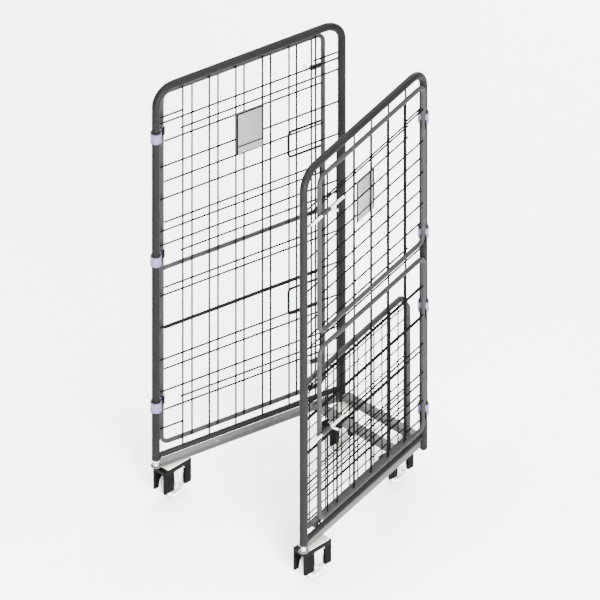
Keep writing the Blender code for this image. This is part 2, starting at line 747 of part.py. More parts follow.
def build_half_gate(name, side_frame_empty, span, rows, clips, bolt_height):
    pivot = new_empty(name + "_pivot", (0.0, SIDE_DEPTH, 0.0), parent=side_frame_empty)
    place = GatePlace(pivot, outward=1, along=-1)
    low, high = span
    gate_frame(name + "_frame", place, low, high, [bolt_height])
    gate_mesh(name + "_mesh", place, low, high, rows, 0)
    for level, height in clips.items():
        gate_clip(f"{name}_clip_{level}", place, height)
    gate_bolt(name + "_bolt", place, bolt_height, HALF_GATE_BOLT_ENDS)


# Deck, in a frame on its hinge axis: X outward, Y along the side, Z up the folded deck


def deck_frame(frame):
    """A closed tube loop with one corner cut off, and an eye for each hinge pin."""
    chamfer_y, chamfer_z = DECK_CHAMFER
    corners = [
        (DECK_LEAN, DECK_FRONT, DECK_NEAR),
        (DECK_LEAN, DECK_REAR, DECK_NEAR),
        (DECK_LEAN, DECK_REAR, DECK_FAR - chamfer_z),
        (DECK_LEAN, DECK_REAR - chamfer_y, DECK_FAR),
        (DECK_LEAN, DECK_FRONT, DECK_FAR),
    ]
    path = rounded_path(corners, 0.025, 3, closed=True)
    body = tube("deck_frame", path, DECK_TUBE, "gate_steel", frame, closed=True)
    for where, (start, way) in DECK_EYES.items():
        end = start + way * EYE_LENGTH
        ends = (0, start, 0), (0, end, 0)
        web = ((-0.003, start, 0.003), (0.005, end, DECK_NEAR))
        join(
            body,
            rod(f"deck_eye_{where}", *ends, EYE_RADIUS, None, frame),
            boxes(f"deck_web_{where}", [web], None, frame),
        )
        past = (0, start - way * 0.01, 0), (0, end + way * 0.01, 0)
        cut(body, rod(f"deck_bore_{where}", *past, DECK_PIN_BORE, None, frame))


def deck_mesh(frame):
    """The deck's grille, which follows the cut corner."""
    half = DECK_WIRE / 2
    sunk = WELD_DEPTH / 2
    inset = DECK_TUBE + GAP
    columns, rows = [], []
    y = DECK_FIRST_COLUMN
    while y < DECK_REAR - DECK_CHAMFER[0]:
        low, high = DECK_NEAR + inset, DECK_FAR - inset
        inner, outer = DECK_LEAN - DECK_WIRE + sunk, DECK_LEAN + sunk
        columns.append(((inner, y - half, low), (outer, y + half, high)))
        y += DECK_PITCH
    slope = DECK_CHAMFER[0] / DECK_CHAMFER[1]
    z = DECK_FIRST_ROW
    while z < DECK_FAR - inset:
        above = max(0.0, z + half - (DECK_FAR - DECK_CHAMFER[1]))
        end = DECK_REAR - above * slope - inset * (hypot(1.0, slope) if above else 1.0)
        inner, outer = DECK_LEAN - sunk, DECK_LEAN + DECK_WIRE - sunk
        rows.append(((inner, DECK_FRONT + inset, z - half), (outer, end, z + half)))
        z += DECK_PITCH
    grille("deck_mesh", columns, rows, frame)


def deck_brackets(frame):
    """Blocks on the side's rail, each with the pin that a deck eye turns on."""
    for where, (start, way) in DECK_EYES.items():
        face = start - way * 0.0005
        back = face - way * 0.016
        rail_face = DECK_AXIS_IN - RAIL_RADIUS - GAP
        block = ((-0.006, face, -0.0055), (rail_face, back, 0.0055))
        bracket = boxes(f"deck_hinge_{where}", [block], "base_steel", frame)
        ends = (0, back + way * 0.002, 0), (0, start + way * (EYE_LENGTH + 0.003), 0)
        join(bracket, rod(f"deck_pin_{where}", *ends, DECK_PIN_RADIUS, None, frame))


def build_deck(side_frame_empty):
    axis = new_empty(
        "deck_axis", (-DECK_AXIS_IN, 0.0, DECK_AXIS_HEIGHT), parent=side_frame_empty
    )
    deck_frame(axis)
    deck_mesh(axis)
    deck_brackets(axis)


def build_all():
    root = new_empty("roll_cage", (-BOX_CENTRE_X, 0.0, 0.0))
    left = new_empty("left_pivot", (-WIDE_WIDTH / 2, FRONT_Y, 0.0), -SPLAY, root)
    right = new_empty("right_pivot", (WIDE_WIDTH / 2, FRONT_Y, 0.0), SPLAY, root)
    build_base(root, {"left": (-1, left), "right": (1, right)})
    build_castors(root)
    build_side("left", left, -1, 0, {"full": FULL_GATE_CLIPS}, label_face=-1)
    half_gates = {"upper": UPPER_GATE_CLIPS, "lower": LOWER_GATE_CLIPS}
    build_side("right", right, 1, SIDE_DEPTH, half_gates, label_face=1)
    build_full_gate(left)
    upper = (UPPER_GATE, UPPER_GATE_ROWS, UPPER_GATE_CLIPS, UPPER_GATE_BOLT)
    lower = (LOWER_GATE, LOWER_GATE_ROWS, LOWER_GATE_CLIPS, LOWER_GATE_BOLT)
    build_half_gate("upper_gate", right, *upper)
    build_half_gate("lower_gate", right, *lower)
    build_deck(right)


clear_scene()
PARTS = new_collection("roll_cage_container")
HELPERS = new_collection("cutters", helper=True)
MATERIALS = {name: new_material(name) for name in FINISHES}
build_all()
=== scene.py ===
"""Finished looks of a nestable roll cage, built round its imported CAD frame.

Tubes, wires, welds, mouldings and wheels are modelled here at their full roundness, and each
rides on the CAD body it belongs to. Metres, +Z up, standing on the floor at Z = 0. A side and
its gates are modelled in the side's own frame: X across it, Y from its front post to its rear.
"""

from __future__ import annotations

import logging
from collections.abc import Callable, Iterable, Iterator, Sequence
from contextlib import contextmanager
from dataclasses import dataclass, field
from enum import Enum
from math import asin, atan2, cos, hypot, pi, radians, sin, tan

import bmesh
import bpy
from mathutils import Matrix, Vector

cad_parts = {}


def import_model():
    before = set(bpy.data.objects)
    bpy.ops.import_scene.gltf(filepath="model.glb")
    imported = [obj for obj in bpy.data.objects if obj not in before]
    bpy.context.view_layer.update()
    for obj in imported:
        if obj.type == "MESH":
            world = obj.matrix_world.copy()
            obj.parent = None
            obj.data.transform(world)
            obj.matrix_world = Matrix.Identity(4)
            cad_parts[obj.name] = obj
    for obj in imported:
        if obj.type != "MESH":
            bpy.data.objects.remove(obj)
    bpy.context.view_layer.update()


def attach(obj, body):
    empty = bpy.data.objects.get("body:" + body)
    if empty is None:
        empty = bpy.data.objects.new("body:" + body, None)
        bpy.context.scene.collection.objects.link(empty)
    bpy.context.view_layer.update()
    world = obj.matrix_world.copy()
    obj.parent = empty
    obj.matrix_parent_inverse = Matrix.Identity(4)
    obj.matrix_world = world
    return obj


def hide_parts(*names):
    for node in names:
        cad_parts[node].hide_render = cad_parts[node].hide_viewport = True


LOG = logging.getLogger("roll_cage")

WIDE_WIDTH = 0.702  # between the front post axes
NARROW_WIDTH = 0.388  # between the rear post axes
SIDE_DEPTH = 0.743  # from front to rear post axis
SPLAY = asin((WIDE_WIDTH - NARROW_WIDTH) / 2 / SIDE_DEPTH)
FRONT_Y = -SIDE_DEPTH * cos(SPLAY) / 2
BOX_CENTRE_X = 0.0109
LEG_LOW = 0.1403
LEG_HIGH = 0.165
WHEEL_RADIUS = 0.056
SMOOTH_ANGLE = radians(38)
FRONT_AXLE_Y = -0.297
REAR_AXLE_Y = 0.291
WELD = 0.0022  # radius of a weld bead round a rail
FINE_WELD = 0.0016  # radius of a weld bead on a gate's tube
NEAR_AXIS = 0.0004  # radius that the turning of a solid pin starts and ends at
LOOSE = 0.0006  # between a pin and its hole
MERGE_DISTANCE = 0.00001
SPIN_WAY = -1  # the spin operator turns against the right-hand rule
UP = Vector((0.0, 0.0, 1.0))
ALONG = Vector((0.0, 1.0, 0.0))


class Side(Enum):
    """The two sides, each with the way that points out of the cage."""

    LEFT = -1
    RIGHT = 1

    @property
    def word(self) -> str:
        """The side's name in piece names."""
        return self.name.lower()

    @property
    def frame(self) -> Matrix:
        """The side's own frame.

        Returns:
            The matrix from the side's frame, on its front post's axis, to the world's.
        """
        x = self.value * WIDE_WIDTH / 2 - BOX_CENTRE_X
        turn = Matrix.Rotation(self.value * SPLAY, 4, "Z")
        return Matrix.Translation((x, FRONT_Y, 0.0)) @ turn


# Modelling by operators


def deselect() -> None:
    """Leaves object mode on, with nothing selected."""
    if bpy.context.mode != "OBJECT":
        bpy.ops.object.mode_set(mode="OBJECT")
    bpy.ops.object.select_all(action="DESELECT")


def activate(*objects: bpy.types.Object) -> None:
    """Selects the objects and makes the first one active.

    Args:
        *objects: The objects that the next operator acts on.
    """
    deselect()
    for obj in objects:
        obj.select_set(True)
    bpy.context.view_layer.objects.active = objects[0]


def settle(name: str) -> bpy.types.Object:
    """Names the primitive just added and puts its place into its mesh.

    Args:
        name: The piece's name.

    Returns:
        The piece, at the origin and unturned.
    """
    obj = bpy.context.object
    obj.name = obj.data.name = name
    bpy.ops.object.transform_apply(location=True, rotation=True, scale=True)
    return obj


@contextmanager
def editing(obj: bpy.types.Object) -> Iterator[None]:
    """Opens a piece in edit mode with nothing selected, and closes it after.

    Args:
        obj: The piece to edit.

    Yields:
        Nothing; the edit operators act on the piece.
    """
    activate(obj)
    bpy.ops.object.mode_set(mode="EDIT")
    bpy.ops.mesh.select_mode(type="VERT")
    bpy.ops.mesh.select_all(action="DESELECT")
    yield
    bpy.ops.object.mode_set(mode="OBJECT")


def pick_faces(obj: bpy.types.Object, wanted: Callable[[Vector, Vector], bool]) -> None:
    """Selects faces of the piece in edit mode.

    Args:
        obj: The piece in edit mode.
        wanted: Says from a face's centre and normal whether it is selected.
    """
    bpy.ops.mesh.select_mode(type="FACE")
    mesh = bmesh.from_edit_mesh(obj.data)
    for face in mesh.faces:
        face.select_set(wanted(face.calc_center_median(), face.normal))
    bmesh.update_edit_mesh(obj.data)


def pick_points(obj: bpy.types.Object, wanted: Callable[[Vector], bool]) -> None:
    """Selects points of the piece in edit mode.

    Args:
        obj: The piece in edit mode.
        wanted: Says from a point's place whether it is selected.
    """
    bpy.ops.mesh.select_mode(type="VERT")
    mesh = bmesh.from_edit_mesh(obj.data)
    for point in mesh.verts:
        point.select_set(wanted(point.co))
    mesh.select_flush_mode()
    bmesh.update_edit_mesh(obj.data)


def pick_uprights(obj: bpy.types.Object) -> None:
    """Selects a block's upright edges.

    Args:
        obj: The block in edit mode.
    """
    bpy.ops.mesh.select_mode(type="EDGE")
    mesh = bmesh.from_edit_mesh(obj.data)
    for edge in mesh.edges:
        start, end = edge.verts
        edge.select_set(abs(start.co.z - end.co.z) > 0.001)
    bmesh.update_edit_mesh(obj.data)


def modify(obj: bpy.types.Object, kind: str, **settings: object) -> bpy.types.Object:
    """Adds a modifier and applies it.

    Args:
        obj: The piece.
        kind: The modifier's type.
        **settings: The modifier's properties.

    Returns:
        The same piece.
    """
    activate(obj)
    modifier = obj.modifiers.new(kind.lower(), kind)
    for key, value in settings.items():
        setattr(modifier, key, value)
    bpy.ops.object.modifier_apply(modifier=modifier.name)
    return obj


def soften(obj: bpy.types.Object, width: float, segments: int = 2) -> bpy.types.Object:
    """Rounds a piece's sharp edges.

    Args:
        obj: The piece.
        width: How far each round reaches from its edge.
        segments: Faces across each round.

    Returns:
        The same piece.
    """
    return modify(
        obj,
        "BEVEL",
        width=width,
        segments=segments,
        limit_method="ANGLE",
        angle_limit=radians(35),
        use_clamp_overlap=True,
    )


def join(pieces: Sequence[bpy.types.Object]) -> bpy.types.Object:
    """Makes one object of several.

    Args:
        pieces: The objects; the first keeps its name.

    Returns:
        The first object, which now holds them all.
    """
    if len(pieces) > 1:
        activate(*pieces)
        bpy.ops.object.join()
    return pieces[0]


def duplicate(obj: bpy.types.Object, places: Iterable[Vector]) -> list[bpy.types.Object]:
    """Copies a finished piece, each copy with its own mesh.

    Args:
        obj: The piece to copy.
        places: How far each copy lies from the piece.

    Returns:
        The copies.
    """
    copies = []
    for place in places:
        copy = obj.copy()
        copy.data = obj.data.copy()
        copy.data.transform(Matrix.Translation(place))
        bpy.context.scene.collection.objects.link(copy)
        copies.append(copy)
    return copies


def turned_copy(obj: bpy.types.Object, name: str, turn: Matrix) -> bpy.types.Object:
    """Copies a piece through a matrix.

    Args:
        obj: The piece to copy.
        name: The copy's name.
        turn: The matrix that its mesh goes through.

    Returns:
        The copy, with faces outwards.
    """
    (copy,) = duplicate(obj, [Vector()])
    copy.name = copy.data.name = name
    copy.data.transform(turn)
    if turn.determinant() < 0:
        with editing(copy):
            bpy.ops.mesh.select_all(action="SELECT")
            bpy.ops.mesh.flip_normals()
    return copy


def remove(obj: bpy.types.Object) -> None:
    """Deletes a helper and its mesh.

    Args:
        obj: The helper.
    """
    mesh = obj.data
    bpy.data.objects.remove(obj)
    bpy.data.meshes.remove(mesh)


def block(
    name: str, low: Sequence[float], high: Sequence[float], edge: float = 0.0006, segments: int = 2
) -> bpy.types.Object:
    """A rectangular bar or plate with rounded edges.

    Args:
        name: The piece's name.
        low: One corner.
        high: The opposite corner.
        edge: Width of the edges' rounding, or 0 for none.
        segments: Faces across the rounding.

    Returns:
        The piece.
    """
    low, high = Vector(low), Vector(high)
    size = [abs(a - b) for a, b in zip(low, high)]
    bpy.ops.mesh.primitive_cube_add(size=1.0, location=(low + high) / 2, scale=size)
    obj = settle(name)
    return soften(obj, edge, segments) if edge else obj


def bar(
    name: str,
    start: Sequence[float],
    end: Sequence[float],
    radius: float,
    sides: int = 12,
    edge: float = 0.0006,
) -> bpy.types.Object:
    """A straight round bar with chamfered ends.

    Args:
        name: The piece's name.
        start: The middle of one end.
        end: The middle of the other end.
        radius: The bar's radius.
        sides: Faces round it.
        edge: Width of the chamfer.

    Returns:
        The piece.
    """
    start, end = Vector(start), Vector(end)
    way = end - start
    bpy.ops.mesh.primitive_cylinder_add(
        vertices=sides,
        radius=radius,
        depth=way.length,
        location=(start + end) / 2,
        rotation=way.to_track_quat("Z", "Y").to_euler(),
    )
    obj = settle(name)
    heading = way.normalized()
    with editing(obj):
        pick_faces(obj, lambda centre, normal: abs(normal.dot(heading)) > 0.9)
        bpy.ops.mesh.bevel(offset=edge, segments=2, affect="EDGES")
    return obj


def turning(
    name: str, profile: Sequence[tuple[float, float]], sides: int, closed: bool = True
) -> bpy.types.Object:
    """A piece turned about the Z axis: a ring that is extruded along its profile.

    Args:
        name: The piece's name.
        profile: Radius and height of each ring, in order.
        sides: Faces round it.
        closed: Whether the profile returns to its first ring; otherwise both ends are filled.

    Returns:
        The piece.
    """
    radius, height = profile[0]
    bpy.ops.mesh.primitive_circle_add(vertices=sides, radius=radius, location=(0.0, 0.0, height))
    obj = settle(name)
    with editing(obj):
        bpy.ops.mesh.select_all(action="SELECT")
        for wider, higher in [*profile[1:], *(profile[:1] if closed else [])]:
            step = (0.0, 0.0, higher - height)
            bpy.ops.mesh.extrude_region_move(TRANSFORM_OT_translate={"value": step})
            ratio = wider / radius
            bpy.ops.transform.resize(value=(ratio, ratio, 1.0), center_override=(0, 0, higher))
            radius, height = wider, higher
        close_mesh()
    return obj


def close_mesh() -> None:
    """Merges a piece's doubled points in edit mode, fills its open ends and turns faces outwards."""
    bpy.ops.mesh.select_all(action="SELECT")
    bpy.ops.mesh.remove_doubles(threshold=MERGE_DISTANCE)
    bpy.ops.mesh.fill_holes(sides=0)
    bpy.ops.mesh.select_all(action="SELECT")
    bpy.ops.mesh.normals_make_consistent(inside=False)


class TubeRun:
    """A bent round tube: a ring that is extruded along straights and spun round bends."""

    def __init__(
        self, name: str, start: Sequence[float], heading: Vector, radius: float, sides: int
    ) -> None:
        """Adds the first ring and opens it in edit mode.

        Args:
            name: The piece's name.
            start: The middle of the first ring.
            heading: The way the tube sets off.
            radius: The tube's radius.
            sides: Faces round it.
        """
        self.place = Vector(start)
        self.heading = heading.normalized()
        bpy.ops.mesh.primitive_circle_add(
            vertices=sides,
            radius=radius,
            location=self.place,
            rotation=self.heading.to_track_quat("Z", "Y").to_euler(),
        )
        self.obj = settle(name)
        bpy.ops.object.mode_set(mode="EDIT")
        bpy.ops.mesh.select_mode(type="VERT")
        bpy.ops.mesh.select_all(action="SELECT")

    def straight(self, length: float, scale: float = 1.0) -> TubeRun:
        """Extrudes the tube's end.

        Args:
            length: How far.
            scale: The end ring's size against the ring before it.

        Returns:
            The same run.
        """
        step = self.heading * length
        self.place += step
        bpy.ops.mesh.extrude_region_move(TRANSFORM_OT_translate={"value": step})
        if scale != 1.0:
            bpy.ops.transform.resize(value=(scale,) * 3, center_override=self.place)
        return self

    def bend(self, toward: Vector, radius: float, angle: float, steps: int = 8) -> TubeRun:
        """Spins the tube's end round a bend.

        Args:
            toward: From the tube to the bend's centre.
            radius: The bend's radius at the tube's axis.
            angle: How far the tube turns.
            steps: Rings round the bend.

        Returns:
            The same run.
        """
        centre = self.place + toward * radius
        axis = self.heading.cross(toward)
        bpy.ops.mesh.spin(steps=steps, angle=SPIN_WAY * angle, center=centre, axis=axis)
        turn = Matrix.Rotation(angle, 3, axis)
        self.place = centre + turn @ (self.place - centre)
        self.heading = turn @ self.heading
        return self

    def finish(self) -> bpy.types.Object:
        """Closes the tube's ends, or joins them where they meet.

        Returns:
            The finished tube.
        """
        close_mesh()
        bpy.ops.object.mode_set(mode="OBJECT")
        return self.obj


def tube_through(
    name: str,
    corners: Sequence[Sequence[float]],
    radius: float,
    bend: float,
    sides: int = 16,
    closed: bool = False,
    tip: Sequence[tuple[float, float]] = (),
) -> bpy.types.Object:
    """A bent tube through its corners.

    Args:
        name: The piece's name.
        corners: The points where the tube's straights would meet, and its ends if it is open.
        radius: The tube's radius.
        bend: Radius of each bend at the tube's axis.
        sides: Faces round the tube.
        closed: Whether the tube is a loop.
        tip: Steps past the last corner of an open tube, each a length and a scale.

    Returns:
        The tube.
    """
    points = [Vector(corner) for corner in corners]
    spans = [b - a for a, b in zip(points, points[1:] + points[:1])]
    ways = [span.normalized() for span in spans]
    turns = [ways[index - 1].angle(way) for index, way in enumerate(ways)]
    if not closed:
        turns[0] = turns[-1] = 0.0
    trims = [bend * tan(turn / 2) for turn in turns]
    run = TubeRun(name, points[0] + ways[0] * trims[0], ways[0], radius, sides)
    for index in range(len(points) if closed else len(points) - 1):
        ahead = (index + 1) % len(points)
        run.straight(spans[index].length - trims[index] - trims[ahead])
        if turns[ahead]:
            way, following = ways[index], ways[ahead]
            toward = (following - way * way.dot(following)).normalized()
            run.bend(toward, bend, turns[ahead])
    for length, scale in tip:
        run.straight(length, scale)
    return run.finish()


def weld_ring(
    name: str, centre: Sequence[float], axis: Vector, radius: float, bead: float, seed: int
) -> bpy.types.Object:
    """A weld bead round the foot of a tube.

    Args:
        name: The piece's name.
        centre: The middle of the joint.
        axis: The tube's axis.
        radius: The tube's radius.
        bead: The bead's radius.
        seed: Picks the bead's unevenness.

    Returns:
        The bead.
    """
    bpy.ops.mesh.primitive_torus_add(
        location=centre,
        rotation=axis.to_track_quat("Z", "Y").to_euler(),
        major_segments=20,
        minor_segments=6,
        major_radius=radius,
        minor_radius=bead,
    )
    obj = settle(name)
    with editing(obj):
        bpy.ops.mesh.select_all(action="SELECT")
        bpy.ops.transform.vertex_random(offset=bead / 5, seed=seed)
    return obj


def weld_spot(name: str, centre: Sequence[float], size: Sequence[float]) -> bpy.types.Object:
    """The flattened bead where two wires cross.

    Args:
        name: The piece's name.
        centre: Its middle.
        size: Its half sizes.

    Returns:
        The bead.
    """
    bpy.ops.mesh.primitive_ico_sphere_add(subdivisions=2, radius=1.0, location=centre, scale=size)
    return settle(name)


# Finishes


class Value:
    """A shader value that Python's operators add maths nodes to."""

    def __init__(self, graph: Graph, socket: bpy.types.NodeSocket) -> None:
        """Wraps an output socket of the graph."""
        self.graph = graph
        self.socket = socket

    def _with(self, operation: str, *values: Value | float) -> Value:
        """Adds one Math node."""
        inputs = dict(enumerate(values))
        return self.graph.node("ShaderNodeMath", {"operation": operation}, inputs)

    def __add__(self, other: Value | float) -> Value:
        """Adds."""
        return self._with("ADD", self, other)

    def __rsub__(self, other: float) -> Value:
        """Subtracts from a number."""
        return self._with("SUBTRACT", other, self)

    def __mul__(self, other: Value | float) -> Value:
        """Multiplies."""
        return self._with("MULTIPLY", self, other)


class Graph:
    """The nodes of one material."""

    def __init__(self, name: str) -> None:
        """Starts a material with its shader and its object coordinates.

        Args:
            name: The material's name.
        """
        self.material = bpy.data.materials.new(name)
        self.material.use_nodes = True
        self.tree = self.material.node_tree
        self.shader = self.tree.nodes["Principled BSDF"]
        self.place = self.node("ShaderNodeTexCoord", output="Object")

    def node(
        self,
        kind: str,
        settings: dict[str, object] | None = None,
        inputs: dict[str | int, object] | None = None,
        output: str | int = 0,
    ) -> Value:
        """Adds a node.

        Args:
            kind: The node's type.
            settings: Its properties, which are set first.
            inputs: Values or links of its sockets, by name or number.
            output: The output to return.

        Returns:
            The node's output.
        """
        node = self.tree.nodes.new(kind)
        for key, setting in (settings or {}).items():
            setattr(node, key, setting)
        for key, value in (inputs or {}).items():
            self.feed(node.inputs[key], value)
        return Value(self, node.outputs[output])

    def feed(self, socket: bpy.types.NodeSocket, value: object) -> None:
        """Links a shader value to a socket, or sets the socket's own number.

        Args:
            socket: The input socket.
            value: A shader value, or what the socket is set to.
        """
        if isinstance(value, Value):
            self.tree.links.new(value.socket, socket)
        else:
            socket.default_value = value

    def set(self, **inputs: object) -> None:
        """Feeds the shader's sockets, with _ for each space in a socket's name."""
        for key, value in inputs.items():
            self.feed(self.shader.inputs[key.replace("_", " ")], value)

    def noise(
        self, size: float, detail: float = 3.0, stretch: Sequence[float] = (1.0, 1.0, 1.0)
    ) -> Value:
        """Soft noise.

        Args:
            size: The length of its largest features, in metres.
            detail: Its layers of finer noise.
            stretch: How much longer the features are along each axis.

        Returns:
            Noise from 0 to 1, mostly near 0.5.
        """
        scale = tuple(1.0 / (size * longer) for longer in stretch)
        spot = self.node("ShaderNodeMapping", inputs={"Vector": self.place, "Scale": scale})
        inputs = {"Vector": spot, "Scale": 1.0, "Detail": detail}
        return self.node("ShaderNodeTexNoise", inputs=inputs)

    def above(self, value: Value, low: float, high: float) -> Value:
        """A mask that rises from 0 to 1 as the value goes from low to high."""
        inputs = {"Value": value, "From Min": low, "From Max": high}
        return self.node("ShaderNodeMapRange", {"interpolation_type": "SMOOTHSTEP"}, inputs)

    def mix(self, factor: Value, first: object, second: object) -> Value:
        """A colour between two, each a colour or a shader value."""
        inputs = {0: factor, 6: opaque(first), 7: opaque(second)}
        return self.node("ShaderNodeMix", {"data_type": "RGBA"}, inputs, 2)

    def height(self) -> Value:
        """Height above the floor at rest."""
        return self.node("ShaderNodeSeparateXYZ", inputs={0: self.place}, output="Z")

    def bump(self, height: Value, distance: float) -> Value:
        """A normal from a height from 0 to 1, over a distance in metres."""
        inputs = {"Height": height, "Distance": distance, "Strength": 1.0}
        return self.node("ShaderNodeBump", inputs=inputs, output="Normal")


def opaque(colour: object) -> object:
    """A colour with an alpha of 1, or the shader value unchanged."""
    return colour if isinstance(colour, Value) else (*colour, 1.0)


def shade(colour: Sequence[float], factor: float) -> tuple[float, ...]:
    """A colour made darker or lighter."""
    return tuple(min(1.0, channel * factor) for channel in colour)


Colour = tuple[float, float, float]


@dataclass(frozen=True)
class CoatedSteel:
    """Stove-enamelled steel: fine orange peel, rubbed patches, scratches and dust low down."""

    slot: str
    colour: Colour
    roughness: float = 0.45
    metallic: float = 0.0
    worn: float = 0.35  # how strongly the rubbed patches show
    gloss: float = 0.06
    rub_shade: float = 3.0  # of the rubbed patches and scratches against the coat
    dust_shade: float = 2.2

    def material(self) -> bpy.types.Material:
        """Builds the material.

        Returns:
            The material.
        """
        graph = Graph(self.slot)
        cloud = graph.noise(0.09, 4.0)
        rubbed = graph.above(graph.noise(0.016, 7.0), 0.60, 0.70) * self.worn
        scratch = graph.above(graph.noise(0.0022, 4.0, (1.0, 1.0, 14.0)), 0.66, 0.72)
        low = (1.0 - graph.above(graph.height(), 0.05, 0.32)) * graph.noise(0.03, 5.0)
        coat = graph.mix(cloud, shade(self.colour, 0.78), shade(self.colour, 1.22))
        paler = shade(self.colour, self.rub_shade)
        worn = graph.mix(rubbed, coat, paler)
        lined = graph.mix(scratch * 0.5, worn, paler)
        peel = graph.noise(0.0018, 2.0)
        graph.set(
            Base_Color=graph.mix(low * 0.4, lined, shade(self.colour, self.dust_shade)),
            Roughness=cloud * 0.16 + low * 0.3 + rubbed * 0.15 + (self.roughness - 0.08),
            Metallic=rubbed * 0.3 + self.metallic,
            Normal=graph.bump(peel + rubbed * -0.6 + scratch * -0.5, 0.00012),
            Specular_IOR_Level=self.gloss,
        )
        return graph.material


@dataclass(frozen=True)
class ZincPlate:
    """Bright zinc plating: fine crystals, a faint yellow cast and dull handling marks."""

    slot: str
    colour: Colour
    roughness: float = 0.30
    yellow: Colour = (0.66, 0.63, 0.55)
    handled: Colour = (0.40, 0.40, 0.39)

    def material(self) -> bpy.types.Material:
        """Builds the material.

        Returns:
            The material.
        """
        graph = Graph(self.slot)
        crystal = graph.node(
            "ShaderNodeTexVoronoi", inputs={"Vector": graph.place, "Scale": 420.0}, output="Color"
        )
        tone = graph.node("ShaderNodeSeparateColor", inputs={0: crystal}, output="Red")
        cast = graph.noise(0.03, 3.0)
        dull = graph.above(graph.noise(0.008, 6.0), 0.52, 0.68)
        plated = graph.mix(cast, shade(self.colour, 0.94), self.yellow)
        speckled = graph.mix(tone * 0.22, plated, shade(self.colour, 1.3))
        graph.set(
            Base_Color=graph.mix(dull * 0.45, speckled, self.handled),
            Roughness=tone * 0.07 + dull * 0.22 + self.roughness,
            Metallic=0.55 - dull * 0.25,
            Normal=graph.bump(graph.noise(0.0009, 3.0) + dull * 0.5, 0.00006),
        )
        return graph.material


@dataclass(frozen=True)
class Moulding:
    """Moulded plastic: spark-eroded grain, flow marks, and paler scuffs."""

    slot: str
    colour: Colour
    scuff: Colour
    roughness: float = 0.42
    gloss: float = 0.4

    def material(self) -> bpy.types.Material:
        """Builds the material.

        Returns:
            The material.
        """
        graph = Graph(self.slot)
        flow = graph.noise(0.012, 3.0, (1.0, 1.0, 2.5))
        rubbed = graph.above(graph.noise(0.005, 7.0), 0.58, 0.70)
        grain = graph.noise(0.0005, 2.0)
        body = graph.mix(flow, shade(self.colour, 0.88), shade(self.colour, 1.10))
        graph.set(
            Base_Color=graph.mix(rubbed * 0.35, body, self.scuff),
            Roughness=grain * 0.12 + rubbed * 0.2 + (self.roughness - 0.06),
            Normal=graph.bump(grain + rubbed * -0.4, 0.00005),
            Specular_IOR_Level=self.gloss,
        )
        return graph.material


@dataclass(frozen=True)
class TreadRubber:
    """Pale non-marking rubber whose running surface has picked up dirt, with painted shade as a dark
    ring round each shoulder.
    """

    slot: str
    colour: Colour
    axle_y: float
    # the colour of the tread's real dirt, and also of the painted shade on each shoulder
    dirt: Colour = (0.020, 0.019, 0.017)

    def material(self) -> bpy.types.Material:
        """Builds the material.

        Returns:
            The material.
        """
        graph = Graph(self.slot)
        middle = (0.0, self.axle_y, WHEEL_RADIUS)
        inputs = {0: graph.place, 1: middle}
        spot = graph.node("ShaderNodeVectorMath", {"operation": "SUBTRACT"}, inputs)
        inputs = {0: spot, 1: (0.0, 1.0, 1.0)}
        flat = graph.node("ShaderNodeVectorMath", {"operation": "MULTIPLY"}, inputs)
        inputs = {0: flat}
        reach = graph.node("ShaderNodeVectorMath", {"operation": "LENGTH"}, inputs, "Value")
        tread = graph.above(reach, 0.0520, 0.0558)
        smear = graph.above(graph.noise(0.006, 6.0, (3.0, 1.0, 1.0)), 0.42, 0.66)
        grit = graph.above(graph.noise(0.0012, 3.0), 0.60, 0.68)
        # painted shade: a dark ring round each shoulder, where the rounded edge turns away from the
        # light
        painted_shoulder_shade = graph.above(reach, 0.0512, 0.0526) * (1.0 - graph.above(reach, 0.0548, 0.0556))
        # real dirt on the running surface plus the painted shoulder shade, all mixed toward the same
        # dark colour
        soiling_and_painted_shade = tread * smear * 0.22 + painted_shoulder_shade * 0.85 + grit * tread * 0.1 + smear * 0.04
        graph.set(
            Base_Color=graph.mix(soiling_and_painted_shade, self.colour, self.dirt),
            Roughness=soiling_and_painted_shade * 0.25 + 0.5,
            Normal=graph.bump(graph.noise(0.0007, 2.0) + grit * -0.6, 0.0001),
        )
        return graph.material


@dataclass(frozen=True)
class LabelPaint:
    """A blank pale plate with faint rubbing where cards were slid in."""

    slot: str
    colour: Colour

    def material(self) -> bpy.types.Material:
        """Builds the material.

        Returns:
            The material.
        """
        graph = Graph(self.slot)
        rub = graph.above(graph.noise(0.004, 6.0, (1.0, 1.0, 6.0)), 0.55, 0.70)
        cloud = graph.noise(0.05, 3.0)
        body = graph.mix(cloud, shade(self.colour, 0.92), shade(self.colour, 1.06))
        graph.set(
            Base_Color=graph.mix(rub * 0.25, body, shade(self.colour, 0.7)),
            Roughness=cloud * 0.15 + rub * 0.15 + 0.38,
            Normal=graph.bump(graph.noise(0.0016, 2.0) + rub * -0.5, 0.00005),
            Metallic=0.1,
        )
        return graph.material


@dataclass(frozen=True)
class PaleFloor:
    """A smooth pale studio floor."""

    slot: str
    colour: Colour = (0.86, 0.86, 0.86)

    def material(self) -> bpy.types.Material:
        """Builds the material.

        Returns:
            The material.
        """
        graph = Graph(self.slot)
        cloud = graph.noise(0.6, 3.0)
        graph.set(
            Base_Color=graph.mix(cloud, shade(self.colour, 0.985), shade(self.colour, 1.01)),
            Roughness=cloud * 0.1 + 0.55,
        )
        return graph.material


